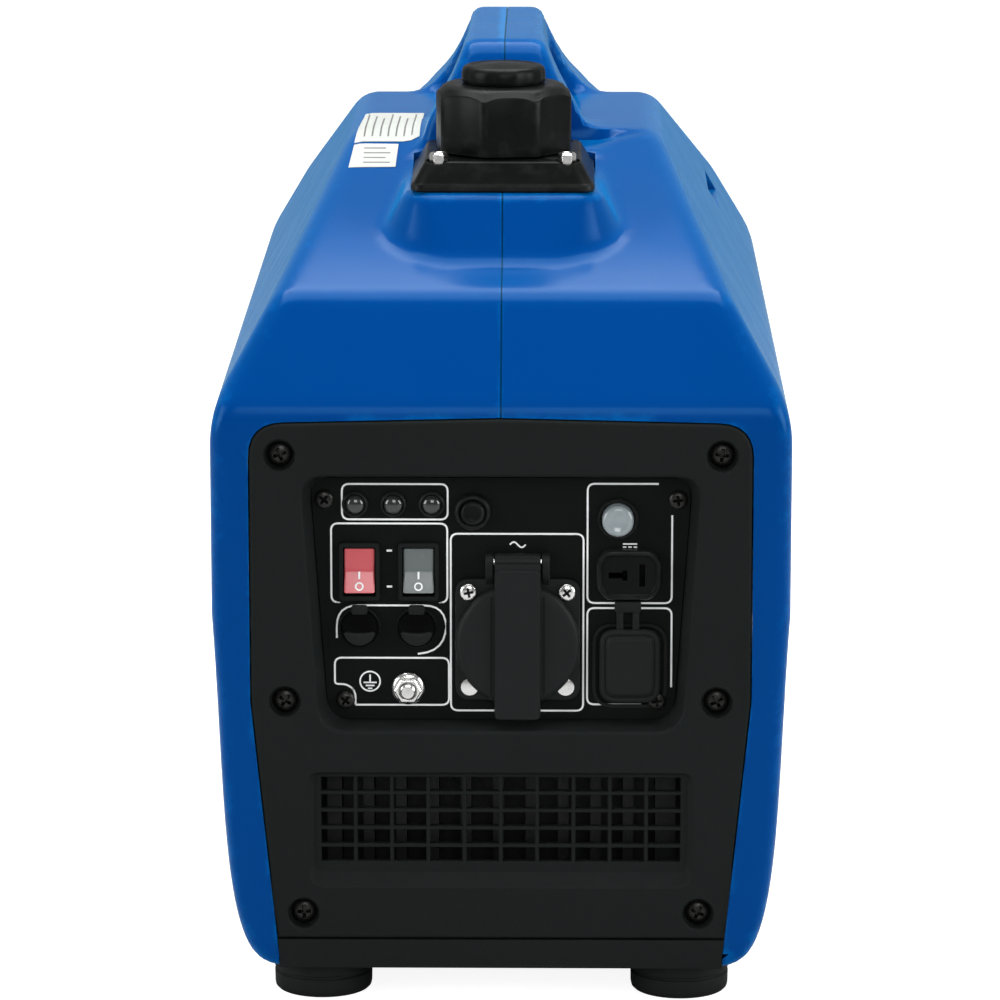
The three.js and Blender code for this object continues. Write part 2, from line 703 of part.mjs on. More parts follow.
function fillerFlange() {
  const rim = box([-FLANGE_HALF, -FLANGE_HALF, 0], [FLANGE_HALF, FLANGE_HALF, 3.4]);
  const square = rectangle(0, 0, FLANGE_HALF - 1, FLANGE_HALF - 1);
  const slope = frustum(square, [0, 0], 3, FLANGE_HEIGHT, FLANGE_TOP_HALF / (FLANGE_HALF - 1));
  return cut(rim.add(slope), [rod("Z", [0, 0], -1, FLANGE_HEIGHT + 1, NECK_RADIUS + GAP, NECK_RADIUS + GAP)]);
}

// Lobed hand grip: the radius swells once for each lobe, and the crown narrows.
function fuelCap() {
  const outline = [];
  const steps = CAP_LOBES * 4;
  for (let i = 0; i < steps; i += 1) {
    const angle = (i / steps) * 2 * Math.PI;
    const radius = CAP_RADIUS - 0.9 + 0.9 * Math.cos(CAP_LOBES * angle);
    outline.push([radius * Math.cos(angle), radius * Math.sin(angle)]);
  }
  const skirtTop = CAP_TOP - CROWN_HEIGHT;
  const skirt = slab("Z", outline, CAP_BASE, skirtTop);
  const crown = frustum(outline, [0, 0], skirtTop - 0.01, CAP_TOP, 0.66);
  const inside = rod("Z", [0, 0], CAP_BASE - 1, NECK_TOP + 3.2, NECK_RADIUS + 1, NECK_RADIUS + 1);
  return cut(skirt.add(crown), [inside]);
}

function ventKnob() {
  const edge = KNOB_TOP - KNOB_EDGE;
  return rod("Z", [0, 0], CAP_TOP + GAP, edge, KNOB_RADIUS).add(
    rod("Z", [0, 0], edge, KNOB_TOP, KNOB_RADIUS, KNOB_RADIUS - 3.5),
  );
}

function fuelTank() {
  const low = 218;
  const high = 288;
  const tank = slab("Z", rectangle(0, FRONT + 112, 84, 60, 20), low, high);
  const neck = rod("Z", [0, FILLER_Y], high - 1, NECK_TOP, NECK_RADIUS, NECK_RADIUS, 24);
  const bore = rod("Z", [0, FILLER_Y], high - 30, NECK_TOP + 1, NECK_RADIUS - 4, NECK_RADIUS - 4, 24);
  return cut(tank.add(neck), [bore]);
}

function addFuelSystem() {
  const group = assembly();
  const above = [0, FILLER_Y, 0];
  add(group, "fuel_tank", fuelTank(), "blackPlastic");
  add(group, "filler_flange", fillerFlange(), "blackPlastic", [0, FILLER_Y, FLANGE_Z + GAP]);
  const gasket = tube("Z", [0, 0], NECK_TOP + GAP, NECK_TOP + 2.6, NECK_RADIUS, NECK_RADIUS - 4, 20);
  add(group, "cap_gasket", gasket, "rubber", above);
  add(group, "fuel_cap", fuelCap(), "blackPlastic", above);
  add(group, "cap_vent_knob", ventKnob(), "blackPlastic", above);
}

// Sides

const DIAL = { y: FRONT + 310, z: 190, radius: 17 };
const LATCH = { y: FRONT + 225, z: 204, radius: 11 };
const POCKET = { halfY: 52, halfZ: 15, floor: -106.6, thickness: 2 };

// Left cover: a pocket for the starter grip, air slots over the fan and a hole for the fuel dial.
function sideCover() {
  const outline = (growth) => rectangle(GRIP_Y, GRIP_Z, POCKET.halfY + growth, POCKET.halfZ + growth, 8);
  const rim = -HALF_WIDTH - COVER_PROUD + 0.2;
  const tray = slab("X", outline(POCKET.thickness), rim, POCKET.floor).subtract(
    slab("X", outline(0), rim - 1, POCKET.floor - POCKET.thickness),
  );
  const opening = slab("X", outline(POCKET.thickness / 2), -HALF_WIDTH - 9, -60);
  const slots = [];
  for (let row = 0; row < 7; row += 1) {
    const z = 74 + row * 12;
    slots.push(box([-HALF_WIDTH - 9, CRANK_Y - 46, z], [-60, CRANK_Y + 46, z + 6]));
  }
  return cut(sideSkin(SIDE_COVER, -1).subtract(opening).add(tray), [
    ...slots,
    rod("X", [GRIP_Y, GRIP_Z], POCKET.floor - 4, POCKET.floor + 2, ROPE_RADIUS + 1.2, ROPE_RADIUS + 1.2, 12),
    rod("X", [DIAL.y, DIAL.z], -HALF_WIDTH - 9, -60, DIAL.radius + GAP),
  ]);
}

function recoilGrip() {
  const bar = slab("X", rectangle(0, 0, 44, 9, 7), -HALF_WIDTH - 0.9, POCKET.floor - POCKET.thickness - GAP);
  return cut(bar, [rod("X", [0, 0], -112, -100, ROPE_RADIUS + GAP, ROPE_RADIUS + GAP, 12)]);
}

// Starter rope: up from the pulley's front edge, round a bend and out to the grip.
function recoilRope() {
  const route = new THREE.CatmullRomCurve3([
    new THREE.Vector3(ROPE_X, GRIP_Y, CRANK_Z),
    new THREE.Vector3(ROPE_X, GRIP_Y, GRIP_Z - 28),
    new THREE.Vector3(ROPE_X - 1, GRIP_Y, GRIP_Z - 8),
    new THREE.Vector3(ROPE_X - 7, GRIP_Y, GRIP_Z - 1),
    new THREE.Vector3(ROPE_X - 18, GRIP_Y, GRIP_Z),
  ]);
  const strand = new THREE.Shape().absarc(0, 0, ROPE_RADIUS, 0, 2 * Math.PI);
  return solid(new THREE.ExtrudeGeometry(strand, { extrudePath: route, steps: 14, curveSegments: 4 }));
}

function recoilHousing() {
  const axis = [CRANK_Y, CRANK_Z];
  const cup = rod("X", axis, -101, -86, 62, 62, 28);
  const inside = rod("X", axis, -98.5, -85, 59.5, 59.5, 28);
  const post = rod("X", axis, -99, -88, 6, 6, 12);
  const ropeWay = box([-98, GRIP_Y - 5, CRANK_Z + 20], [-80, GRIP_Y + 5, CRANK_Z + 70]);
  return cut(cup.subtract(inside), [ropeWay]).add(post);
}

function recoilPulley() {
  const axis = [CRANK_Y, CRANK_Z];
  const web = rod("X", axis, -94, -91, 40, 40, 24);
  const flanges = [[-96, -94.2], [-90.8, -89]].map(([from, to]) => rod("X", axis, from, to, 43, 43, 24));
  const core = rod("X", axis, -95, -90, 39, 39, 24);
  return cut(joined([web, core, ...flanges]), [rod("X", axis, -100, -80, 6 + GAP, 6 + GAP, 12)]);
}

// A round knob with a raised bar across its face.
function coverKnob(side, face, inner, radius) {
  const reach = [side * inner, side * (face - 3)].sort((a, b) => a - b);
  const barReach = [side * (face - 3.5), side * face].sort((a, b) => a - b);
  const disc = rod("X", [0, 0], ...reach, radius);
  return disc.add(slab("X", rectangle(0, 0, radius * 0.85, 3, 2), ...barReach));
}

function addSides() {
  const group = assembly();
  const face = HALF_WIDTH + COVER_PROUD;
  add(group, "side_cover", sideCover(), "blackPlastic");
  add(group, "recoil_grip", recoilGrip(), "blackPlastic", [0, GRIP_Y, GRIP_Z]);
  add(group, "recoil_rope", recoilRope(), "rope");
  add(group, "recoil_housing", recoilHousing(), "blackPlastic");
  add(group, "recoil_pulley", recoilPulley(), "greyPlastic");
  add(group, "fuel_dial", coverKnob(-1, face, 108, DIAL.radius), "blackPlastic", [0, DIAL.y, DIAL.z]);
  const latchHole = rod("X", [LATCH.y, LATCH.z], 60, HALF_WIDTH + 9, LATCH.radius + GAP);
  add(group, "service_cover", sideSkin(SERVICE_COVER, 1).subtract(latchHole), "bluePlastic");
  const latch = coverKnob(1, face, 108, LATCH.radius);
  add(group, "service_cover_latch", latch, "blackPlastic", [0, LATCH.y, LATCH.z]);
}

// Engine and alternator, on the crankshaft axis

const CYLINDER_TOP = 205;

function engineBlock() {
  const axis = [CRANK_Y, CRANK_Z];
  const crankcase = slab("X", rectangle(CRANK_Y, 109, 46, 49, 16), -32, 34);
  const barrel = rod("Z", [0, CRANK_Y], 150, CYLINDER_TOP, 30, 30, 20);
  const fins = [166, 178, 190].map((z) => rod("Z", [0, CRANK_Y], z, z + 3, 41, 41, 20));
  return cut(joined([crankcase, barrel, ...fins]), [
    rod("X", axis, -20, 22, 36, 36, 20),
    rod("X", axis, -40, 0, 9 + GAP, 9 + GAP, 16),
    rod("Z", [0, CRANK_Y], CRANK_Z, CYLINDER_TOP + 1, 22, 22, 16),
  ]);
}

function crankshaft() {
  const axis = [CRANK_Y, CRANK_Z];
  const webs = [[-14, -7], [9, 16]].map(([from, to]) => rod("X", axis, from, to, 28, 28, 20));
  const pin = rod("X", [CRANK_Y, CRANK_Z + 17], -10, 12, 7, 7, 12);
  return joined([rod("X", axis, -83, -10, 9, 9, 16), pin, ...webs]);
}

function stator() {
  const axis = [CRANK_Y, CRANK_Z];
  const core = rod("X", axis, -57, -36, 39, 39, 27).add(rod("X", axis, -37, -32 - GAP, 20, 20, 18));
  const slots = [];
  for (let i = 0; i < 9; i += 1) {
    const slot = box([-60, -2.5, 22], [-35, 2.5, 45]).rotate([i * 40, 0, 0]);
    slots.push(slot.translate([0, ...axis]));
  }
  return cut(core, [...slots, rod("X", axis, -60, -30, 11, 11, 16)]);
}

function flywheelRotor() {
  const axis = [CRANK_Y, CRANK_Z];
  const cup = rod("X", axis, -65, -35, 46, 46, 28);
  return cut(cup, [rod("X", axis, -60, -34, 40.5, 40.5, 28), rod("X", axis, -70, -50, 9 + GAP, 9 + GAP, 16)]);
}

function coolingFan() {
  const axis = [CRANK_Y, CRANK_Z];
  const disc = rod("X", axis, -68.5, -65 - GAP, 56, 56, 28);
  const hub = rod("X", axis, -83, -66, 17, 17, 16);
  const blades = [];
  for (let i = 0; i < 8; i += 1) {
    const blade = box([-81, -1.2, 14], [-67, 1.2, 55]).rotate([i * 45, 0, 0]);
    blades.push(blade.translate([0, ...axis]));
  }
  return cut(joined([disc, hub, ...blades]), [rod("X", axis, -90, -60, 9 + GAP, 9 + GAP, 16)]);
}

function carburettor() {
  const body = slab("Z", rectangle(0, CRANK_Y - 66, 17, 16, 3), 158, 194);
  const throat = rod("X", [CRANK_Y - 66, 178], 15, 44, 11, 11, 16);
  const bowl = rod("Z", [0, CRANK_Y - 66], 146, 159, 13, 13, 16);
  return cut(joined([body, throat, bowl]), [rod("X", [CRANK_Y - 66, 178], -20, 50, 8, 8, 12)]);
}

function airFilterBox() {
  const shape = slab("X", rectangle(CRANK_Y - 56, 168, 32, 32, 10), 44 + GAP, 104);
  return cut(shape, [rod("X", [CRANK_Y - 66, 178], 40, 70, 8, 8, 12)]);
}

// Silencer drum across the rear, with the exhaust stub towards the cylinder and the tail pipe out.
function muffler() {
  const drum = slab("X", rectangle(FRONT + 362, 178, 52, 46, 26), -72, 72);
  const stub = rod("Y", [0, 186], CRANK_Y + 44, FRONT + 312, 11, 11, 12);
  const tail = rod("Y", [TAIL.x, TAIL.z], FRONT + 412, REAR - 1.5, TAIL.radius, TAIL.radius, 16);
  const bore = rod("Y", [TAIL.x, TAIL.z], FRONT + 400, REAR, TAIL.radius - 2, TAIL.radius - 2, 16);
  return cut(joined([drum, stub, tail]), [bore]);
}

function inverterUnit() {
  const block = box([-72, FRONT + 24, BASE_Z + 3.5 + GAP], [72, FRONT + 62, 100]);
  const slots = [];
  for (let i = 0; i < 10; i += 1) {
    const x = -66 + i * 13.4;
    slots.push(box([x, FRONT + 20, BASE_Z + 8], [x + 9, FRONT + 44, 101]));
  }
  return cut(block, slots);
}

function addEngine() {
  const group = assembly();
  const headCover = slab("Z", rectangle(0, CRANK_Y, 30, 28, 6), CYLINDER_TOP + GAP, 226);
  const plugBoot = rod("Z", [0, CRANK_Y], 226 + GAP, 256, 9, 11, 16);
  const plugCap = plugBoot.add(rod("X", [CRANK_Y, 248], 0, 26, 7, 7, 12));
  const oilCap = rod("X", [CRANK_Y - 24, 78], 34 + GAP, 50, 11, 9, 16);
  const coil = box([-62, CRANK_Y + 49, 92], [-38, CRANK_Y + 70, 132]);
  add(group, "engine_block", engineBlock(), "aluminium");
  add(group, "cylinder_head_cover", headCover, "aluminium");
  add(group, "spark_plug_cap", plugCap, "rubber");
  add(group, "oil_filler_cap", oilCap, "blackPlastic");
  add(group, "crankshaft", crankshaft(), "steel");
  add(group, "stator", stator(), "copper");
  add(group, "flywheel_rotor", flywheelRotor(), "castIron");
  add(group, "cooling_fan", coolingFan(), "blackPlastic");
  add(group, "ignition_coil", coil, "blackPlastic");
  add(group, "carburettor", carburettor(), "aluminium");
  add(group, "air_filter_box", airFilterBox(), "blackPlastic");
  add(group, "muffler", muffler(), "steel");
  add(group, "inverter_unit", inverterUnit(), "aluminium");
}

addCasing();
addEndsAndBase();
addControls();
addFuelSystem();
addSides();
addEngine();

export default generator;
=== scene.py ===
"""A suitcase inverter generator, dressed over its CAD frame. Metres, +Z up, the control panel faces -Y."""
import json
import math
import bmesh
import bpy
import numpy as np
from mathutils import Matrix, Vector


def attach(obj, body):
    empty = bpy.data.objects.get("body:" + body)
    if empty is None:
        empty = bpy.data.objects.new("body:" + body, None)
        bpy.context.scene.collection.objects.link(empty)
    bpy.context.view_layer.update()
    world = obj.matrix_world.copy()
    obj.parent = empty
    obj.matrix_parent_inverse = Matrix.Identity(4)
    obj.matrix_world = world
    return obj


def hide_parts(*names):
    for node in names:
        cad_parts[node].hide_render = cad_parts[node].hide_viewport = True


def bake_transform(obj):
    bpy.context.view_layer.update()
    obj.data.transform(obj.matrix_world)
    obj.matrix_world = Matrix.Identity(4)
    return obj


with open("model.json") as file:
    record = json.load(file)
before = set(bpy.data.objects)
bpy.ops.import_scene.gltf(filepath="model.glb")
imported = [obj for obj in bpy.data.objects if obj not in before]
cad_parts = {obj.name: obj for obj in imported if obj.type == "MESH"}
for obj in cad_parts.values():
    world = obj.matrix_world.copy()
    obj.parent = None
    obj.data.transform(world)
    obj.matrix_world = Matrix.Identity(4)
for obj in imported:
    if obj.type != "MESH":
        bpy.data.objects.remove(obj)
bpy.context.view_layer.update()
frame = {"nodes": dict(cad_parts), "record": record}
NODES = frame["nodes"]
MM = 0.001

# The casing's driving dimensions, as in the CAD, in millimetres
FRONT, REAR = -225.0, 225.0
HALF_WIDTH = 118.0
BASE_Z, SHOULDER_Z, DECK_Z, TOP_Z = 15.0, 247.0, 339.0, 380.0
SHOULDER_SLOPE = 1.755
FILLER_Y = FRONT + 105
FLANGE_Z, FLANGE_HALF = 327.0, 38.0
HOLE_Y, HOLE_HALF = FRONT + 240, 46.0
HANDLE_BROW, HANDLE_CREST = 156.0, 280.0
WALL = 3.0
PLATE_Y = FRONT + 11
CLEAR = 0.3
SEAM = 0.1                           # half the gap between the casing's two halves
SEAM_LINE, SEAM_FADE = 0.00035, 0.0006   # metres either side of the middle
COAT_ROUGHNESS, SHEEN_ROUGHNESS = 0.12, 0.75
REFLECTED_SKY, SHEEN_SKY = (0.2, 0.65, 1.0, 1.0), (0.0, 0.5, 1.0, 1.0)
GRAIN_HEIGHT, SCRATCH_HEIGHT = 0.0006, 0.0004

# Where the controls sit, as (x, z)
MAINS_SOCKET, MAINS_LID, MAINS_HINGE = (6.8, 152.0), (6.8, 150.5), (FRONT + 7, 185.0)
LOW_VOLTAGE, CHARGING = (52.0, 179.4), (52.6, 141.4)
RESET_BUTTON, BREAKER_BUTTON, GROUND_STUD = (-11.5, 205), (47.5, 202.3), (-38, 131)
ROCKER_Z, LAMP_Z, PARALLEL_Z = 180, 208, 156.5
ROCKER_TILT = -8
STARTER_HOLE = (-57, 195)            # (y, z)


# Camera

def add_camera():
    target = Vector((-0.0003, FRONT * MM, 0.2121))
    azimuth, elevation, distance = math.radians(0.65), math.radians(12.04), 2.1886
    back = Vector((math.sin(azimuth) * math.cos(elevation), -math.cos(azimuth) * math.cos(elevation),
                   math.sin(elevation)))
    camera = bpy.data.objects.new("camera", bpy.data.cameras.new("camera"))
    camera.data.lens = 194.9
    camera.data.sensor_width = 36.0
    camera.data.clip_end = 40.0
    camera.location = target + back * distance
    camera.rotation_euler = (-back).to_track_quat("-Z", "Y").to_euler()
    bpy.context.collection.objects.link(camera)
    bpy.context.scene.camera = camera


# Materials

def noise(nodes, links, vector, scale, detail=3.0, roughness=0.5, stretch=None):
    if stretch is not None:
        mapping = nodes.new("ShaderNodeMapping")
        mapping.inputs["Scale"].default_value = stretch
        links.new(vector, mapping.inputs["Vector"])
        vector = mapping.outputs["Vector"]
    node = nodes.new("ShaderNodeTexNoise")
    node.inputs["Scale"].default_value = scale
    node.inputs["Detail"].default_value = detail
    node.inputs["Roughness"].default_value = roughness
    links.new(vector, node.inputs["Vector"])
    return node.outputs["Fac"]


def ramp(nodes, links, factor, stops):
    node = nodes.new("ShaderNodeValToRGB")
    elements = node.color_ramp.elements
    while len(elements) < len(stops):
        elements.new(0.5)
    for element, (place, colour) in zip(elements, stops):
        element.position = place
        element.color = (*colour, 1.0) if hasattr(colour, "__len__") else (colour, colour, colour, 1.0)
    links.new(factor, node.inputs["Fac"])
    return node.outputs["Color"]


def shade(colour, factor):
    return tuple(min(1.0, c * factor) for c in colour)


def calculated(nodes, links, operation, *given):
    """A Math node. Each input is a number or another node's output."""
    node = nodes.new("ShaderNodeMath")
    node.operation = operation
    for socket, value in zip(node.inputs, given):
        if isinstance(value, float):
            socket.default_value = value
        else:
            links.new(value, socket)
    return node.outputs["Value"]


def mixed(nodes, links, factor, first, second):
    """The first colour where factor is 0, the second where it is 1. A tuple is a plain colour."""
    node = nodes.new("ShaderNodeMix")
    node.data_type = "RGBA"
    links.new(factor, node.inputs["Factor"])
    for socket, value in (("A", first), ("B", second)):
        if isinstance(value, tuple):
            node.inputs[socket].default_value = (*value, 1.0)
        else:
            links.new(value, node.inputs[socket])
    return node.outputs["Result"]


def bumped(nodes, links, height, strength, distance, normal=None):
    node = nodes.new("ShaderNodeBump")
    node.inputs["Strength"].default_value = strength
    node.inputs["Distance"].default_value = distance
    links.new(height, node.inputs["Height"])
    if normal is not None:
        links.new(normal, node.inputs["Normal"])
    return node.outputs["Normal"]


def finish(name, base, roughness, metallic=0.0, spread=0.07, cloud=14.0, tint=0.12, grain=1500.0, depth=0.06,
           stretch=None, wear=None, coat=0.0, transmission=0.0, specular=0.5, scratches=0.0, sheen=0.0,
           seam=None):
    """A moulded, cast or rolled finish: clouded colour, uneven roughness, surface grain and worn edges.
    With seam, a dark line follows the joint of the casing's halves, on the middle plane."""
    made = bpy.data.materials.new(name)
    made.use_nodes = True
    nodes, links = made.node_tree.nodes, made.node_tree.links
    shader = nodes["Principled BSDF"]
    place = nodes.new("ShaderNodeTexCoord").outputs["Object"]
    clouds = noise(nodes, links, place, cloud, 4.0, 0.55)
    colour = ramp(nodes, links, clouds, [(0.3, shade(base, 1 - tint)), (0.7, shade(base, 1 + tint))])
    smudge = noise(nodes, links, place, cloud * 5, 5.0, 0.6)
    rough = ramp(nodes, links, smudge, [(0.3, max(0.03, roughness - spread)),
                                        (0.72, min(1.0, roughness + spread))])
    if wear is not None:
        pointiness = nodes.new("ShaderNodeNewGeometry").outputs["Pointiness"]
        broken = noise(nodes, links, place, 120.0, 4.0, 0.7)
        edge = calculated(nodes, links, "MULTIPLY_ADD", broken, 0.12, pointiness)
        colour = mixed(nodes, links, ramp(nodes, links, edge, [(0.585, 0.0), (0.66, 1.0)]), colour, wear)
    if seam is not None:
        parts = nodes.new("ShaderNodeSeparateXYZ")
        links.new(place, parts.inputs["Vector"])
        far = nodes.new("ShaderNodeMapRange")
        far.inputs["From Min"].default_value = SEAM_LINE
        far.inputs["From Max"].default_value = SEAM_FADE
        links.new(calculated(nodes, links, "ABSOLUTE", parts.outputs["X"]), far.inputs["Value"])
        colour = mixed(nodes, links, far.outputs["Result"], seam, colour)
    links.new(colour, shader.inputs["Base Color"])
    links.new(rough, shader.inputs["Roughness"])
    for socket, value in (("Metallic", metallic), ("Coat Weight", coat), ("Coat Roughness", COAT_ROUGHNESS),
                          ("Transmission Weight", transmission), ("Specular IOR Level", specular),
                          ("Specular Tint", REFLECTED_SKY if sheen else (1.0, 1.0, 1.0, 1.0)),
                          ("Sheen Weight", sheen), ("Sheen Roughness", SHEEN_ROUGHNESS),
                          ("Sheen Tint", SHEEN_SKY)):
        shader.inputs[socket].default_value = value
    fine = noise(nodes, links, place, grain, 2.0, 0.6, stretch)
    normal = bumped(nodes, links, fine, depth, GRAIN_HEIGHT)
    if scratches:
        lines = noise(nodes, links, place, 60.0, 6.0, 0.75, (1.0, 9.0, 9.0))
        normal = bumped(nodes, links, lines, scratches, SCRATCH_HEIGHT, normal)
    links.new(normal, shader.inputs["Normal"])
    return made


M = {
    "blue": finish("blue_moulding", (0.0, 0.021, 0.165), 0.2, spread=0.03, cloud=7.0, tint=0.03, grain=900.0,
                   depth=0.025, wear=(0.0, 0.085, 0.32), specular=0.14, sheen=0.24, seam=(0.0, 0.01, 0.075)),
    "black": finish("black_moulding", (0.0092, 0.0112, 0.0107), 0.54, spread=0.06, grain=1500.0, depth=0.16,
                    cloud=9.0, tint=0.06, specular=0.045),
    "cap": finish("black_cap", (0.0036, 0.0042, 0.004), 0.32, spread=0.06, grain=1900.0, depth=0.08,
                  cloud=30.0, tint=0.12, wear=(0.02, 0.021, 0.021), specular=0.075),
    "plate": finish("black_plate", (0.0042, 0.0054, 0.005), 0.5, spread=0.04, grain=2400.0, depth=0.1,
                    cloud=12.0, tint=0.05, specular=0.05),
    "socket": finish("dark_socket", (0.0085, 0.0102, 0.01), 0.44, spread=0.06, grain=2300.0, depth=0.08,
                     tint=0.08, specular=0.1),
    # The mains lid's own grey; also lent to the flaps' rubber lips as painted light
    "lid": finish("grey_lid", (0.009, 0.0112, 0.0107), 0.44, spread=0.06, grain=2300.0, depth=0.08, tint=0.06,
                  specular=0.1),
    "rubber": finish("black_rubber", (0.007, 0.0078, 0.0075), 0.6, spread=0.08, grain=1300.0, depth=0.16,
                     tint=0.12, specular=0.12),
    "red": finish("red_rocker", (0.5, 0.07, 0.085), 0.24, spread=0.05, grain=2400.0, depth=0.03, tint=0.06,
                  coat=0.3),
    "grey": finish("grey_rocker", (0.1, 0.12, 0.118), 0.3, spread=0.06, grain=2400.0, depth=0.04, tint=0.06,
                   coat=0.2),
    "clear": finish("clear_cap", (0.3, 0.35, 0.37), 0.12, spread=0.05, grain=1500.0, depth=0.03, tint=0.06,
                    coat=0.4, transmission=0.3),
    "steel": finish("zinc_plated_steel", (0.74, 0.74, 0.72), 0.22, metallic=1.0, spread=0.09, grain=900.0,
                    depth=0.08, tint=0.1, cloud=90.0, scratches=0.08),
    "dark_steel": finish("blackened_screw", (0.016, 0.016, 0.015), 0.32, metallic=0.6, spread=0.1,
                         grain=1900.0, depth=0.1, tint=0.2, cloud=120.0),
    "aluminium": finish("cast_aluminium", (0.5, 0.51, 0.52), 0.46, metallic=1.0, spread=0.12, grain=700.0,
                        depth=0.35, tint=0.12, cloud=60.0),
    "iron": finish("cast_iron", (0.1, 0.1, 0.105), 0.62, metallic=0.85, spread=0.12, grain=500.0, depth=0.5,
                   tint=0.25, cloud=50.0),
    "copper": finish("wound_copper", (0.5, 0.2, 0.085), 0.36, metallic=1.0, spread=0.1, grain=260.0,
                     depth=0.9, stretch=(14.0, 1.0, 1.0), tint=0.3, cloud=120.0),
    "rope": finish("braided_rope", (0.02, 0.022, 0.026), 0.8, spread=0.08, grain=420.0, depth=0.9,
                   stretch=(1.0, 3.0, 3.0), tint=0.4, cloud=300.0),
    "white": finish("printed_line", (0.8, 0.82, 0.82), 0.45, spread=0.06, grain=2200.0, depth=0.04, tint=0.04,
                    cloud=200.0),
    "label": finish("paper_label", (0.44, 0.46, 0.43), 0.5, spread=0.08, grain=1200.0, depth=0.04, tint=0.04,
                    cloud=60.0),
    "ink": finish("pale_ink", (0.12, 0.12, 0.118), 0.55, spread=0.08, grain=1500.0, depth=0.04, tint=0.1,
                  cloud=150.0),
    "lens": finish("lamp_lens", (0.018, 0.021, 0.02), 0.12, spread=0.04, grain=900.0, depth=0.03, tint=0.2,
                   coat=0.5, cloud=90.0),
    "anodised": finish("black_anodised", (0.012, 0.0125, 0.013), 0.5, metallic=0.3, spread=0.08, grain=900.0,
                       depth=0.1, tint=0.15, cloud=40.0, specular=0.3),
    # The flap discs' rubber, far darker than the flap's own rubber: painted shade for the hollow above the lip
    "painted_shade_disc": finish("rubber_disc_painted_shade", (0.0016, 0.0018, 0.0017), 0.7, spread=0.06, grain=1300.0, depth=0.12,
                  tint=0.1, specular=0.03),
    "cover": finish("blue_cover", (0.0, 0.021, 0.165), 0.2, spread=0.03, cloud=7.0, tint=0.03, grain=900.0,
                    depth=0.025, specular=0.14, sheen=0.24),
}

NODE_FINISH = {
    "service_cover": "cover",
    "inverter_unit": "anodised",
    "casing_left": "blue", "casing_right": "blue", "front_panel": "black", "front_grille": "black",
    "rear_panel": "black", "base_tray": "black", "control_plate": "plate",
}


def dress_nodes():
    """Each CAD node that stays in view gets its finish, and a small bevel on its edges."""
    by_slot = {"blue_plastic": "blue", "black_plastic": "black", "red_plastic": "red", "grey_plastic": "grey",
               "clear_plastic": "clear", "rubber": "rubber", "steel": "steel", "aluminium": "aluminium",
               "cast_iron": "iron", "copper": "copper", "rope": "rope"}
    slots = {part["node"]: part["material_slot"] for part in frame["record"]["subparts"]}
    for name, node in NODES.items():
        key = NODE_FINISH.get(name) or by_slot.get(slots.get(name)) or "black"
        for slot in node.material_slots:
            slot.material = M[key]
        if not node.material_slots:
            node.data.materials.append(M[key])
        edge = node.modifiers.new("edge", "BEVEL")
        edge.width = 0.0005
        edge.segments = 2
        edge.limit_method = "ANGLE"
        edge.angle_limit = math.radians(38)
        edge.harden_normals = False


add_camera()
dress_nodes()

# Shapes

def smax(a, b, r):
    """The greater of two fields, rounded over about r where they meet. It cuts when b is a negated field."""
    h = np.clip(r - np.abs(a - b), 0, None) / r
    return np.maximum(a, b) + h * h * r * 0.25


def smin(a, b, r):
    return -smax(-a, -b, r)


def polygon_field(u, v, corners, r):
    """Signed distance to a convex outline given anticlockwise, with its corners rounded by about r."""
    value = None
    for (u0, v0), (u1, v1) in zip(corners, corners[1:] + corners[:1]):
        length = math.hypot(u1 - u0, v1 - v0)
        plane = ((v1 - v0) * (u - u0) - (u1 - u0) * (v - v0)) / length
        value = plane if value is None else smax(value, plane, r)
    return value


def box_field(u, v, cu, cv, hu, hv, r):
    """Signed distance to a rectangle about (cu, cv), with rounded corners of radius r."""
    a, b = np.abs(u - cu) - hu + r, np.abs(v - cv) - hv + r
    return np.hypot(np.maximum(a, 0), np.maximum(b, 0)) + np.minimum(np.maximum(a, b), 0) - r


# The side's half width by height: the cubic of the CAD section, from the base to the belly
LOWER_SIDE = np.array([(94.0, BASE_Z), (116.0, 17.0), (113.0, 90.0), (HALF_WIDTH, 163.0)])
t = np.linspace(0, 1, 60)[:, None]
CURVE = (1 - t) ** 3 * LOWER_SIDE[0] + 3 * (1 - t) ** 2 * t * LOWER_SIDE[1] \
    + 3 * (1 - t) * t ** 2 * LOWER_SIDE[2] + t ** 3 * LOWER_SIDE[3]
PROFILE = [(FRONT, BASE_Z), (REAR, BASE_Z), (REAR, SHOULDER_Z), (REAR - 27, 291.6), (REAR - 79, 311.0),
           (REAR - 150, DECK_Z), (FRONT + 168, DECK_Z), (FRONT + 79, 311.8), (FRONT + 27, 291.6),
           (FRONT, SHOULDER_Z)]


def body_field(x, y, z):
    """The casing without its handle."""
    ax = np.abs(x)
    lower = (ax - np.interp(z, CURVE[:, 1], CURVE[:, 0])) * 0.98
    slope = ((ax - HALF_WIDTH) * SHOULDER_SLOPE + (z - SHOULDER_Z)) / math.hypot(1, SHOULDER_SLOPE)
    side = smax(lower, slope, 7.0)
    ends = polygon_field(y, z, PROFILE, 3.2)
    ends = smax(ends, np.abs(y) - REAR, 3.0)
    value = smax(side, ends, 7.0)
    rise = FLANGE_Z - z
    corner = 13.0 + np.clip(rise, 0, 40) * 0.35
    mound = box_field(x, y, 0.0, FILLER_Y, 40.5, 40.0, corner) - np.clip(rise, -4, 60) * 0.55
    mound = smax(mound * 0.88, z - FLANGE_Z, 2.5)
    return smin(value, mound, 3.6)


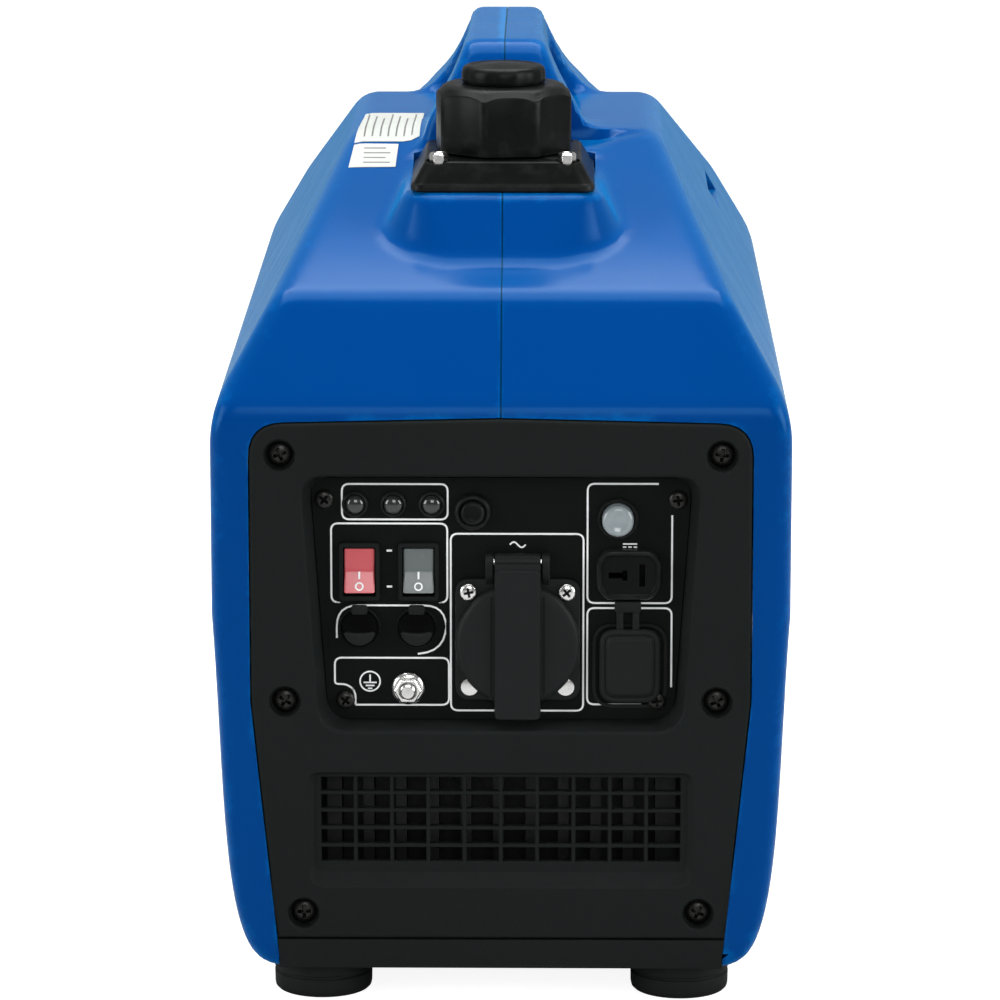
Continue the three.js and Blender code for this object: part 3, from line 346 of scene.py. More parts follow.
def handle_field(x, y, z):
    """An arch in side view, narrowing upwards, with a hole for the fingers."""
    arch = polygon_field(y, z, [(FRONT + 145, 300.0), (FRONT + 340, 300.0), (FRONT + 334, DECK_Z),
                                (FRONT + 318, 354.0), (FRONT + 302, 368.0),
                                (FRONT + HANDLE_CREST, TOP_Z - 0.2), (FRONT + HANDLE_BROW, 379.1),
                                (FRONT + 145, 362.0)], 6.0)
    heights = [320.0, 330.0, 338.0, 344.0, 349.5, 354.0, 360.0, 366.0, 371.0, 376.5, 384.0]
    widths = [58.0, 46.0, 37.5, 32.6, 28.0, 25.0, 21.8, 19.3, 17.4, 15.9, 14.6]
    spread = 1 + 0.12 * np.clip(FRONT + HANDLE_CREST - y, 0, 124) / (HANDLE_CREST - HANDLE_BROW)
    slim = [33.0, 32.0, 31.0, 29.6, 27.4, 24.8, 21.8, 19.3, 17.4, 15.9, 14.6]
    front_leg = np.clip((FRONT + 246 - y) / 40, 0, 1)
    half = np.interp(z, heights, widths) * (1 - front_leg) + np.interp(z, heights, slim) * front_leg
    flank = (np.abs(x) / spread - half) * 0.8
    value = smax(arch, flank, 4.5)
    waist = np.maximum(box_field(y, z, HOLE_Y, 358.0, HOLE_HALF - 2, 32.0, 16.0), 19.0 - np.abs(x))
    value = smax(value, -waist, 4.0)
    return smax(value, -box_field(y, z, HOLE_Y, 339.0, HOLE_HALF, 19.0, 10.0), 5.0)


def casing_field(x, y, z):
    """The whole casing: the body, scooped out under the handle, with the handle blended on."""
    scoop = np.maximum(np.abs(y - HOLE_Y) - HOLE_HALF - 1, np.abs(x) - 24 - (z - 326) * 0.46)
    value = smax(body_field(x, y, z), -np.maximum(scoop, 326 - z), 3.0)
    value = smin(value, handle_field(x, y, z), 7.0)
    # A shallow finger notch with a pointed end, in the edge of the deck on the right
    wall = FRONT + 172 - np.clip(x - 44, 0, 24) * 0.25
    ground = 334.2 + 5.4 * np.clip((x - 40) / 24, 0, 1)
    notch = np.maximum(np.maximum(ground - z, y - wall), 26 - x)
    return smax(value, -notch * 0.9, 1.5)


def cavity_field(x, y, z):
    """The hollow inside the casing, a wall's thickness in."""
    value = body_field(x, y, z) + WALL
    scoop = np.maximum(np.abs(y - HOLE_Y) - HOLE_HALF - 1 - WALL, np.abs(x) - 27 - (z - 326) * 0.46)
    value = smax(value, -np.maximum(scoop, 323 - z), 3.0)
    notch = np.maximum(np.maximum(331.4 - z, y - FRONT - 175), np.maximum(27 - x, x - 64))
    return smax(value, -notch, 2.0)


def surface_nets(field, low, high, step):
    """Vertices and quads of field = 0, each vertex then slid on to the surface."""
    axes = [np.arange(a, b + step, step) for a, b in zip(low, high)]
    gx, gy, gz = np.meshgrid(*axes, indexing="ij")
    values = field(gx, gy, gz)
    inside = values < 0
    cells = tuple(n - 1 for n in values.shape)
    total, count = np.zeros(cells + (3,)), np.zeros(cells)
    grid = [gx, gy, gz]
    crossings = []
    for axis in range(3):
        first = [slice(None)] * 3
        second = [slice(None)] * 3
        first[axis], second[axis] = slice(None, -1), slice(1, None)
        a, b = values[tuple(first)], values[tuple(second)]
        crossed = (a < 0) != (b < 0)
        part = np.where(crossed, a / np.where(crossed, a - b, 1.0), 0.0)
        others = [k for k in range(3) if k != axis]
        point = [g[tuple(first)] for g in grid]
        point[axis] = point[axis] + part * step
        for i in (0, 1):
            for j in (0, 1):
                take = [slice(None)] * 3
                take[others[0]] = slice(i, cells[others[0]] + i)
                take[others[1]] = slice(j, cells[others[1]] + j)
                here = crossed[tuple(take)]
                count += here
                for k in range(3):
                    total[..., k] += np.where(here, point[k][tuple(take)], 0.0)
        crossings.append((axis, others, crossed, inside[tuple(first)]))
    used = count > 0
    index = -np.ones(cells, int)
    index[used] = np.arange(used.sum())
    points = total[used] / count[used][:, None]
    quads = []
    for axis, others, crossed, starts_inside in crossings:
        where = np.argwhere(crossed)
        keep = np.ones(len(where), bool)
        for k in others:
            keep &= (where[:, k] > 0) & (where[:, k] < cells[k])
        where = where[keep]
        corners = []
        for i, j in ((0, 0), (1, 0), (1, 1), (0, 1)):
            cell = where.copy()
            cell[:, others[0]] -= i
            cell[:, others[1]] -= j
            corners.append(index[tuple(cell.T)])
        quad = np.stack(corners, 1)
        flip = starts_inside[tuple(where.T)] ^ (axis == 1)
        quad[~flip] = quad[~flip][:, ::-1]
        quads.append(quad)
    for _ in range(4):
        x, y, z = points.T
        value = field(x, y, z)
        e = 0.05
        slope = np.stack([field(x + e, y, z) - field(x - e, y, z), field(x, y + e, z) - field(x, y - e, z),
                          field(x, y, z + e) - field(x, y, z - e)], 1) / (2 * e)
        size = np.maximum((slope ** 2).sum(1), 0.2)
        move = -(value / size)[:, None] * slope
        points = points + np.clip(move, -step * 0.5, step * 0.5)
    return points, np.concatenate(quads)


def mesh_object(name, points, faces, finish_key, smooth=True):
    """A new object from points in millimetres."""
    mesh = bpy.data.meshes.new(name)
    mesh.from_pydata([tuple(c * MM for c in p) for p in points], [],
                     [tuple(int(i) for i in f) for f in faces])
    mesh.validate()
    mesh.update()
    made = bpy.data.objects.new(name, mesh)
    bpy.context.collection.objects.link(made)
    mesh.materials.append(M[finish_key])
    if smooth:
        mesh.shade_smooth()
    return made


def rounded(corners, steps=5):
    """An outline whose corners (u, v, reach) are rounded, starting reach away from each corner."""
    points = []
    n = len(corners)
    for i, corner in enumerate(corners):
        here = Vector(corner[:2])
        reach = corner[2] if len(corner) > 2 else 0
        if not reach:
            points.append(tuple(here))
            continue
        before = (Vector(corners[i - 1][:2]) - here).normalized() * reach + here
        after = (Vector(corners[(i + 1) % n][:2]) - here).normalized() * reach + here
        for k in range(steps + 1):
            s = k / steps
            points.append(tuple(before * (1 - s) ** 2 + here * 2 * s * (1 - s) + after * s * s))
    return points


def rectangle(u, v, half_u, half_v, reach=0.0, steps=5):
    return rounded([(u - half_u, v - half_v, reach), (u + half_u, v - half_v, reach),
                    (u + half_u, v + half_v, reach), (u - half_u, v + half_v, reach)], steps)


def grown(outline, amount):
    """An outline moved outwards by an amount, mitred at its corners. The outline is anticlockwise."""
    points = []
    clean = [p for i, p in enumerate(outline) if math.dist(p, outline[i - 1]) > 1e-6]
    n = len(clean)
    for i, here in enumerate(clean):
        a, b = clean[i - 1], clean[(i + 1) % n]
        e1 = Vector((here[0] - a[0], here[1] - a[1])).normalized()
        e2 = Vector((b[0] - here[0], b[1] - here[1])).normalized()
        normal = Vector((e1.y + e2.y, -e1.x - e2.x))
        if normal.length < 1e-6:
            normal = Vector((e1.y, -e1.x))
        normal.normalize()
        reach = amount / max(0.3, normal.dot(Vector((e1.y, -e1.x))))
        points.append((here[0] + normal.x * reach, here[1] + normal.y * reach))
    return points


def placed(axis, u, v, w):
    """A point from an outline's u and v and its place w along the axis. X: (y, z), Y: (x, z), Z: (x, y)."""
    return {"X": (w, u, v), "Y": (u, w, v), "Z": (u, v, w)}[axis]


def skin(count, rings, start=0):
    """The faces between successive rings of count points."""
    return [(a + i, a + (i + 1) % count, a + count + (i + 1) % count, a + count + i)
            for a in range(start, start + (rings - 1) * count, count) for i in range(count)]


def loft(name, axis, rings, finish_key, sharp=32):
    """A closed skin through rings of equal count: each ring is (outline, place along the axis)."""
    count = len(rings[0][0])
    points = [placed(axis, u, v, w) for outline, w in rings for u, v in outline]
    last = (len(rings) - 1) * count
    faces = [*skin(count, len(rings)), tuple(reversed(range(count))), tuple(last + i for i in range(count))]
    made = mesh_object(name, points, faces, finish_key)
    outward(made)
    made.data.set_sharp_from_angle(angle=math.radians(sharp))
    return made


def outward(made):
    work = bmesh.new()
    work.from_mesh(made.data)
    bmesh.ops.recalc_face_normals(work, faces=work.faces)
    work.to_mesh(made.data)
    work.free()


def prism(name, axis, outline, start, end, finish_key, edge=0.5, sharp=32):
    """An extruded outline whose two rims are rounded by edge."""
    if edge <= 0:
        return loft(name, axis, [(outline, start), (outline, end)], finish_key, sharp)
    way = 1 if end > start else -1
    inner = grown(outline, -edge)
    middle = grown(outline, -edge * 0.3)
    if len(inner) != len(outline):
        outline = grown(outline, 0.0)
    rings = [(inner, start), (middle, start + way * edge * 0.3), (outline, start + way * edge),
             (outline, end - way * edge), (middle, end - way * edge * 0.3), (inner, end)]
    return loft(name, axis, rings, finish_key, sharp)


def circle(u, v, radius, count=32):
    return [(u + radius * math.cos(a), v + radius * math.sin(a))
            for a in (2 * math.pi * i / count for i in range(count))]


def turned(name, axis, centre, stations, finish_key, count=32, sharp=32):
    """A turned piece: stations are (radius, place along the axis)."""
    rings = [(circle(*centre, max(radius, 0.01), count), w) for radius, w in stations]
    return loft(name, axis, rings, finish_key, sharp)


def boolean(target, cutters, operation="DIFFERENCE", solver="EXACT"):
    """The cut applied for good, and the cutters removed."""
    for cutter in cutters:
        step = target.modifiers.new("cut", "BOOLEAN")
        step.operation = operation
        step.solver = solver
        step.object = cutter
    apply_modifiers(target)
    for cutter in cutters:
        bpy.data.objects.remove(cutter)
    return target


def apply_modifiers(made):
    bpy.context.view_layer.update()
    depsgraph = bpy.context.evaluated_depsgraph_get()
    mesh = bpy.data.meshes.new_from_object(made.evaluated_get(depsgraph))
    made.modifiers.clear()
    made.data = mesh


def joined(name, parts):
    """Several objects as one mesh, keeping each part's finish."""
    work = bmesh.new()
    keys = []
    for part in parts:
        apply_modifiers(part)
        slots = [m for m in part.data.materials]
        start = len(work.faces)
        part.data.transform(part.matrix_world)
        work.from_mesh(part.data)
        work.faces.ensure_lookup_table()
        for face in work.faces[start:]:
            material = slots[min(face.material_index, len(slots) - 1)]
            if material not in keys:
                keys.append(material)
            face.material_index = keys.index(material)
    mesh = bpy.data.meshes.new(name)
    work.to_mesh(mesh)
    work.free()
    for material in keys:
        mesh.materials.append(material)
    made = bpy.data.objects.new(name, mesh)
    bpy.context.collection.objects.link(made)
    for part in parts:
        bpy.data.objects.remove(part)
    return made


def sharpened(made, angle):
    """Smooth shading with edges kept sharp above an angle in degrees."""
    made.data.shade_smooth()
    made.data.set_sharp_from_angle(angle=math.radians(angle))
    return made


def refinished(made, key):
    """One finish in place of those that the joined parts brought."""
    made.data.materials.clear()
    made.data.materials.append(M[key])
    return made


def at_front(*stations):
    """Stations along Y, each a radius or an outline with its depth behind the front face."""
    return [(shape, FRONT + depth) for shape, depth in stations]


def keep(made, body, slot, *nodes):
    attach(made, body)
    if nodes:
        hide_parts(*nodes)
    return made


# Casing

END_OUTLINE = rounded([(-90.5, BASE_Z), (90.5, BASE_Z), (97, 78), (102, 128), (102, 243.2, 14), (0.5, 245.4),
                       (-0.5, 245.4), (-102, 243.2, 14), (-102, 128), (-97, 78)], 6)
SIDE_COVER = rounded([(FRONT + 66, 56, 16), (FRONT + 386, 56, 16), (FRONT + 386, 234, 16),
                      (FRONT + 66, 234, 16)], 6)
SERVICE_COVER = rounded([(FRONT + 120, 62, 14), (FRONT + 330, 62, 14), (FRONT + 330, 222, 14),
                         (FRONT + 120, 222, 14)], 6)


def block(name, low, high):
    outline = [(low[0], low[1]), (high[0], low[1]), (high[0], high[1]), (low[0], high[1])]
    return loft(name, "Z", [(outline, low[2]), (outline, high[2])], "blue", 30)


def soften_seam(half):
    """A small bevel along the seam, which reads as the groove between the two halves."""
    work = bmesh.new()
    work.from_mesh(half.data)
    weight = work.edges.layers.float.new("bevel_weight_edge")
    for edge in work.edges:
        if len(edge.link_faces) == 2 and all(abs(abs(v.co.x) - SEAM * MM) < 2e-6 for v in edge.verts):
            if edge.calc_face_angle(0.0) > 1.0:
                edge[weight] = 1.0
    work.to_mesh(half.data)
    work.free()
    groove = half.modifiers.new("seam", "BEVEL")
    groove.limit_method = "WEIGHT"
    groove.width = 0.55 * MM
    groove.segments = 1


def build_casing():
    step = 2.9
    points, quads = surface_nets(casing_field, (-125, -232, 8), (125, 232, 388), step)
    inner, inner_quads = surface_nets(cavity_field, (-125, -232, 8), (125, 232, 388), 7.0)
    both = np.concatenate([points, inner])
    faces = np.concatenate([quads, inner_quads[:, ::-1] + len(points)])
    casing = mesh_object("casing_skin", both, faces, "blue")
    ends, left, right = (grown(outline, CLEAR) for outline in (END_OUTLINE, SIDE_COVER, SERVICE_COVER))
    seat = FLANGE_HALF + 0.6
    cutters = [
        loft("cut_front", "Y", at_front((ends, -3), (ends, WALL + 3)), "blue"),
        loft("cut_rear", "Y", [(ends, REAR - WALL - 3), (ends, REAR + 3)], "blue"),
        block("cut_floor", (-91.3, FRONT - 3, 0), (91.3, REAR + 3, BASE_Z + 4)),
        loft("cut_left", "X", [(left, -HALF_WIDTH - 9), (left, -60)], "blue"),
        loft("cut_right", "X", [(right, 60), (right, HALF_WIDTH + 9)], "blue"),
        turned("cut_filler", "Z", (0, FILLER_Y), [(23, 280), (23, 390)], "blue"),
        block("cut_seat", (-seat, FILLER_Y - seat, FLANGE_Z + 0.05), (seat, FILLER_Y + seat, 390)),
        block("cut_seam", (-SEAM, FRONT - 9, 0), (SEAM, REAR + 9, 395)),
        block("cut_vent", (84, FRONT + 288, 286), (104, FRONT + 344, 295)),
    ]
    boolean(casing, cutters)
    for side, name in ((-1, "casing_left"), (1, "casing_right")):
        half = casing.copy()
        half.data = casing.data.copy()
        half.name = name + "_skin"
        bpy.context.collection.objects.link(half)
        work = bmesh.new()
        work.from_mesh(half.data)
        far = [v for v in work.verts if v.co.x * side < 0]
        bmesh.ops.delete(work, geom=far, context="VERTS")
        work.to_mesh(half.data)
        work.free()
        sharpened(half, 34)
        soften_seam(half)
        keep(half, "generator", "blue_plastic", name)
    bpy.data.objects.remove(casing)


build_casing()


# Small shapes

def plus(u, v, reach, half, angle):
    """The outline of a cross recess."""
    cross = [(reach, -half), (reach, half), (half, half), (half, reach), (-half, reach), (-half, half),
             (-reach, half), (-reach, -half), (-half, -half), (-half, -reach), (half, -reach), (half, -half)]
    c, s = math.cos(angle), math.sin(angle)
    return [(u + a * c - b * s, v + a * s + b * c) for a, b in cross]


def screw(name, centre, face, radius, height, key, angle):
    """A domed cross-head screw that faces the front: its head stands on face and is height tall."""
    rings = [(1.0, 0.0), (1.0, 0.35), (0.93, 0.62), (0.76, 0.85), (0.5, 0.97), (0.22, 1.0)]
    head = turned(name, "Y", centre, [(radius * r, face - height * h) for r, h in rings], key, 28, 40)
    top = face - (height + 0.3)
    cutter = loft("cross", "Y", [(plus(*centre, radius * 0.6, radius * 0.15, angle), top),
                                 (plus(*centre, radius * 0.34, radius * 0.1, angle), top + radius * 0.62)],
                  key)
    boolean(head, [cutter])
    keep(finish_edges(head, 30), "generator", "steel")


def finish_edges(made, angle=32, bevel=0.0):
    sharpened(made, angle)
    if bevel:
        edge = made.modifiers.new("edge", "BEVEL")
        edge.width = bevel * MM
        edge.segments = 2
        edge.limit_method = "ANGLE"
        edge.angle_limit = math.radians(angle)
    even = made.modifiers.new("even", "WEIGHTED_NORMAL")
    even.keep_sharp = True
    return made


def ribbon(name, path, width, key, front, back, closed=False):
    """A flat printed line along a path of (x, z), standing between two depths."""
    n = len(path)
    points, faces = [], []
    for i, here in enumerate(path):
        a = path[i - 1] if closed or i else here
        b = path[(i + 1) % n] if closed or i < n - 1 else here
        e1, e2 = Vector(here) - Vector(a), Vector(b) - Vector(here)
        e1 = e1.normalized() if e1.length > 1e-6 else e2.normalized()
        e2 = e2.normalized() if e2.length > 1e-6 else e1
        normal = Vector((-(e1.y + e2.y), e1.x + e2.x)).normalized()
        reach = width / 2 / max(0.5, normal.dot(Vector((-e1.y, e1.x))))
        for side, y in ((1, front), (-1, front), (-1, back), (1, back)):
            points.append((here[0] + normal.x * reach * side, y, here[1] + normal.y * reach * side))
    for i in range(n if closed else n - 1):
        a, b = i * 4, ((i + 1) % n) * 4
        for k in range(4):
            faces.append((a + k, a + (k + 1) % 4, b + (k + 1) % 4, b + k))
    if not closed:
        faces += [(0, 1, 2, 3), tuple((n - 1) * 4 + k for k in (3, 2, 1, 0))]
    made = mesh_object(name, points, faces, key, False)
    outward(made)
    return made


# Fuel cap, its vent knob and the filler flange

LOBES, CAP_RADIUS, CAP_BASE, CAP_TOP = 8, 29.8, 340.0, 368.0
NECK_RADIUS = 21.0


def crown_height(r):
    s = max(0.0, (r - 22.6) / 6.6)
    return CAP_TOP - 0.035 * (r - 17) - 4.1 * s ** 1.7


def build_cap():
    count, lobe = LOBES * 26, 360 / LOBES
    rings = [[] for _ in range(15)]
    for i in range(count):
        angle = 2 * math.pi * i / count
        part = ((math.degrees(angle) + 106) % lobe) - lobe / 2
        radius = CAP_RADIUS - 2.3 * (1 - (abs(part) / (lobe / 2)) ** 2.8)
        near = lobe / 2 - abs(part)
        radius -= 0.55 * math.exp(-(near / 1.5) ** 2)
        rim = crown_height(radius)
        profile = [(radius - 1.4, CAP_BASE), (radius - 0.3, CAP_BASE + 0.3), (radius, CAP_BASE + 1.3),
                   (radius, CAP_BASE + 12), (radius, rim - 1.0), (radius - 0.14, rim - 0.45),
                   (radius - 0.5, rim - 0.05), (radius - 1.1, rim + 0.28)]
        last = radius - 1.1
        for k in range(1, 8):
            r = last + (17.0 - last) * k / 7
            profile.append((r, crown_height(r)))
        for ring, (r, z) in zip(rings, profile):
            ring.append((r * math.cos(angle), FILLER_Y + r * math.sin(angle), z))
    points = [p for ring in rings for p in ring]
    faces = skin(count, len(rings))
    # The hollow under the cap, around the neck
    inner = [(22.0, CAP_BASE), (22.0, 350.7), (0.4, 350.7)]
    start = len(points)
    for r, z in inner:
        points += [(x, y, z) for x, y in circle(0, FILLER_Y, r, count)]
    for a in (start, start + count):
        for i in range(count):
            j = (i + 1) % count
            faces.append((a + j, a + i, a + count + i, a + count + j))
    for i in range(count):
        j = (i + 1) % count
        faces.append((j, i, start + i, start + j))
    faces.append(tuple((len(rings) - 1) * count + i for i in range(count)))
    faces.append(tuple(start + 2 * count + i for i in range(count)))
    cap = mesh_object("fuel_cap_body", points, faces, "cap")
    outward(cap)
    cap.data.set_sharp_from_angle(angle=math.radians(50))
    keep(cap, "filler_cap", "black_plastic", "fuel_cap")


def build_knob():
    """Domed, with a raised rim and eight shallow flutes."""
    count = 96
    stations = [(16.9, 368.3), (17.35, 368.7), (17.5, 369.6), (17.5, 371.6), (17.3, 373.4), (16.7, 374.6),
                (15.6, 375.3), (14.3, 375.5), (13.4, 375.2), (12.9, 375.1), (9.0, 375.75), (4.5, 376.15),
                (0.6, 376.3)]
    rings = []
    for r, z in stations:
        ring = []
        for i in range(count):
            angle = 2 * math.pi * i / count
            part = ((math.degrees(angle) + 83.5) % 45) - 22.5
            rimward, below_top = max(0.0, min(1.0, (r - 14) / 3)), min(1.0, max(0.0, (376 - z) / 3))
            flute = 0.45 * math.exp(-(part / 7.5) ** 2) * rimward * below_top
            ring.append(((r - flute) * math.cos(angle), FILLER_Y + (r - flute) * math.sin(angle)))
        rings.append((ring, z))
    knob = loft("vent_knob_body", "Z", rings, "cap", 40)
    keep(knob, "vent_knob", "black_plastic", "cap_vent_knob")


def build_flange():
    base = FLANGE_Z + CLEAR
    profile = [(0.7, 5.5, 0), (0, 6, 0.5), (0, 6, 2.4), (0.35, 5.8, 3.1), (1.1, 5.6, 3.7), (5.2, 5, 10.9),
               (5.7, 4.8, 11.6), (6.5, 4.5, 12.0)]
    rings = [(rectangle(0, FILLER_Y, FLANGE_HALF - inset, FLANGE_HALF - inset, reach, 4), base + rise)
             for inset, reach, rise in profile]
    flange = loft("filler_flange_body", "Z", rings, "cap", 36)
    bore = NECK_RADIUS + CLEAR
    neck = turned("neck", "Z", (0, FILLER_Y), [(bore, base - 2), (bore, base + 15)], "cap", 48)
    bolts = {side + end: (sx * reach, FILLER_Y + sy * 27.8) for side, sx in (("l", -1), ("r", 1))
             for end, sy, reach in (("f", -1, 26.5), ("b", 1, 23.5))}
    relief = [turned("relief", "Z", spot, [(4.9, base + 8.8), (5.9, base + 14)], "cap", 24)
              for spot in bolts.values()]
    boolean(flange, [neck, *relief])
    finish_edges(flange, 34, 0.35)
    keep(flange, "generator", "black_plastic", "filler_flange")
    for key, spot in bolts.items():
        washer = turned("washer", "Z", spot, [(4.4, base + 8.9), (4.75, base + 9.3), (4.5, base + 9.9),
                                              (3.0, base + 10.1)], "steel", 24, 40)
        head = turned("hexagon", "Z", spot, [(3.9, base + 9.9), (3.9, base + 14.6), (3.2, base + 15.3)],
                      "steel", 6, 30)
        dish = turned("dish", "Z", spot, [(1.3, base + 14.5), (2.4, base + 15.8)], "steel", 16)
        boolean(head, [dish])
        keep(finish_edges(joined("flange_bolt_" + key, [washer, head]), 30, 0.25), "generator", "steel")


# Front panel, grille and plate

PANEL_OUTLINE = rounded([(-91.77, 27.3), (91.77, 27.3), (97, 78), (102, 128), (102, 243.2, 14), (0.5, 245.4),
                         (-0.5, 245.4), (-102, 243.2, 14), (-102, 128), (-97, 78)], 6)
RECESS = rounded([(-73.5, 115.6, 11), (73.5, 115.6, 11), (81, 221.2, 10), (-81, 221.2, 10)], 7)
FACE_SCREWS = [(-89.5, 230), (89.5, 230), (-88, 127.5), (88, 127.5), (-81, 38), (81, 38)]
PLATE_SCREWS = [(-72, 210), (72, 210), (-63.7, 126), (63.7, 126)]


def shrunk(outline, share, middle=168.4):
    return [(x * (1 - share), middle + (z - middle) * (1 - share)) for x, z in outline]


def sill(half, low, high, lower_reach, upper_reach, steps):
    """An opening about the middle plane, with its own corner reach below and above."""
    return rounded([(-half, low, lower_reach), (half, low, lower_reach), (half, high, upper_reach),
                    (-half, high, upper_reach)], steps)


def build_panel():
    rim = grown(PANEL_OUTLINE, -0.2)
    edge = at_front((rim, 4), (rim, 1.6), (grown(rim, -0.25), 0.7), (grown(rim, -0.8), 0.2),
                    (grown(rim, -1.6), 0))
    panel = loft("front_panel_face", "Y", edge, "black", 36)
    well = loft("well", "Y", at_front((grown(RECESS, 2.4), 1.5), (grown(RECESS, 2.4), 14)), "black")
    boolean(panel, [well], "UNION")
    mouth = [(grown(RECESS, 3.2), -1), (grown(RECESS, 1.9), 0), (grown(RECESS, 1.0), 0.25),
             (grown(RECESS, 0.3), 0.9), (RECESS, 1.9), (shrunk(RECESS, 0.036), 10.6),
             (shrunk(RECESS, 0.0362), 15)]
    mouth = loft("mouth", "Y", at_front(*mouth), "black")
    window = [(79.6, 48.4, 98.9, 8, -0.5), (78.7, 49.3, 98.0, 7.4, 0.25), (78.1, 50.0, 97.5, 7, 0.9),
              (76.0, 57.2, 97.3, 5, 2.9), (75.9, 57.4, 97.2, 5, 6)]
    window = loft("window", "Y", at_front(*[(sill(half, low, high, reach, reach * 0.6, 6), depth)
                                            for half, low, high, reach, depth in window]), "black")
    bores = [turned("bore", "Y", spot, at_front((7.3, -0.4), (6.6, 0.5), (6.1, 1.4), (5.9, 6)), "black")
             for spot in FACE_SCREWS]
    boolean(panel, [mouth, window, *bores])
    finish_edges(panel, 40)
    keep(panel, "generator", "black_plastic", "front_panel")
    for i, spot in enumerate(FACE_SCREWS):
        inside = turned("inside", "Y", spot, at_front((5.75, 1.0), (5.3, 6.5)), "black")
        cup = at_front((5.8, 1.7), (6.4, 4.2), (6.4, 9))
        cup = turned(f"screw_cup_{i + 1}", "Y", spot, cup, "black", 32, 30)
        boolean(cup, [inside])
        keep(finish_edges(cup, 40), "generator", "black_plastic")
        screw(f"face_screw_{i + 1}", spot, FRONT + 6.5, 5.0, 3.0, "dark_steel", 0.35 + i * 1.1)
    for i, spot in enumerate(PLATE_SCREWS):
        screw(f"plate_screw_{i + 1}", spot, PLATE_Y, 3.9, 2.1, "dark_steel", 0.9 + i * 0.8)


GRILLE_FLARE = ((0.62, 1.8), (0.0, 2.8), (-0.1, 6.2))   # each opening's growth, by depth


def build_grille():
    """Ten by five openings between fine bars, each opening narrowed a little towards the back."""
    outline = sill(76.6, 54.6, 97.6, 5.6, 2.8, 5)
    plate = loft("front_grille_bars", "Y", at_front((outline, 2.4), (outline, 5.5)), "black", 30)
    points, faces = [], []
    left, bottom, bar, columns, rows = -73.6, 59.9, 1.6, 10, 5
    pitch_x, pitch_z = (147.2 + bar) / columns, (35.6 + bar) / rows
    wide, tall = pitch_x - bar, pitch_z - bar
    for x in (left + column * pitch_x for column in range(columns)):
        for z in (bottom + row * pitch_z for row in range(rows)):
            start = len(points)
            for g, y in at_front(*GRILLE_FLARE):
                points += [(x - g, y, z - g), (x + wide + g, y, z - g), (x + wide + g, y, z + tall + g),
                           (x - g, y, z + tall + g)]
            faces += [*skin(4, 3, start), (start + 3, start + 2, start + 1, start),
                      (start + 8, start + 9, start + 10, start + 11)]
    cutter = mesh_object("openings", points, faces, "black", False)
    outward(cutter)
    boolean(plate, [cutter])
    finish_edges(plate, 30)
    keep(plate, "generator", "black_plastic", "front_grille")


PRINT_SLOT = "clear_plastic"
PRINT_FRONT, PRINT_BACK = PLATE_Y - 0.12, PLATE_Y - 0.01


def box_path(x0, z0, x1, z1, reach=3.0):
    return rounded([(x0, z0, reach), (x1, z0, reach), (x1, z1, reach), (x0, z1, reach)], 6)


def printed(name, paths, width=0.75, closed=False):
    """Printed lines on the plate. With closed, the first path closes on itself."""
    lines = [ribbon("line", path, width, "white", PRINT_FRONT, PRINT_BACK, closed and not k)
             for k, path in enumerate(paths)]
    keep(joined(name, lines), "generator", PRINT_SLOT)


# The groups that the printed outlines hold together. The inner corners are (x, z, reach)
OUTLINES = {
    "outline_switches": [(-66.6, 166.9), (-69.2, 166.9, 3), (-69.2, 199.9, 3), (-21.9, 199.9, 3),
                         (-21.9, 166.9, 3), (-24.6, 166.9)],
    "outline_parallel": [(-67.1, 152), (-67.1, 165.7, 9), (-22.5, 165.7, 9), (-22.5, 146.4, 11),
                         (-34, 145.4)],
    "outline_ground": [(-59.6, 123.9), (-21.3, 123.9, 3), (-21.3, 143.7, 3), (-68, 143.7, 3),
                       (-68, 132.6, 1.5), (-62.0, 132.6, 3.5), (-59.6, 129.0, 2), (-59.6, 123.9)],
    "outline_mains": [(-2.6, 121.6), (-20.5, 121.6, 3), (-20.5, 195.7, 3), (33.6, 195.7, 3), (33.6, 121.6, 3),
                      (16.2, 121.6)],
    "outline_low_voltage": [(64.0, 216.6), (35.2, 216.6, 3), (35.2, 166.9, 3), (69.6, 166.9, 3),
                            (69.6, 203.6)],
    "outline_charging": [(57.4, 124.3), (35.2, 124.3, 3), (35.2, 164.8, 3), (69.6, 164.8, 3), (69.6, 131.6)],
}


def build_print():
    printed("outline_lamps", [box_path(-64.7, 201.6, -21.7, 216.3)], closed=True)
    for name, path in OUTLINES.items():
        printed(name, [rounded([path[0][:2], *path[1:-1], path[-1][:2]], 6)])
    # The earth symbol: a ring, a stem and three shortening bars
    stem_and_bars = [[(-53.6, 136.6), (-53.6, 133.3)], [(-56.3, 133.3), (-50.9, 133.3)],
                     [(-55.4, 132.0), (-51.8, 132.0)], [(-54.5, 130.8), (-52.7, 130.8)]]
    printed("earth_symbol", [circle(-53.6, 133.8, 4.1, 40), *stem_and_bars], 0.62, closed=True)
    # A wave over the mains socket, and a long bar over three short ones for direct current
    wave = [(3.6 + 6.4 * k / 24, 191.2 + 1.1 * math.sin(2 * math.pi * k / 24)) for k in range(25)]
    printed("wave_symbol", [wave], 0.62)
    printed("direct_symbol", [[(49.6, 191.6), (55.4, 191.6)],
                              *[[(49.6 + 2.2 * k, 190.3), (51.0 + 2.2 * k, 190.3)] for k in range(3)]], 0.55)
    printed("switch_ticks", [[(-46.6, z), (-44.4, z)] for z in (188.6, 173.6)], 0.8)


# Controls

PIVOT_Y = FRONT + 13
FLAP_RADIUS = 7.35


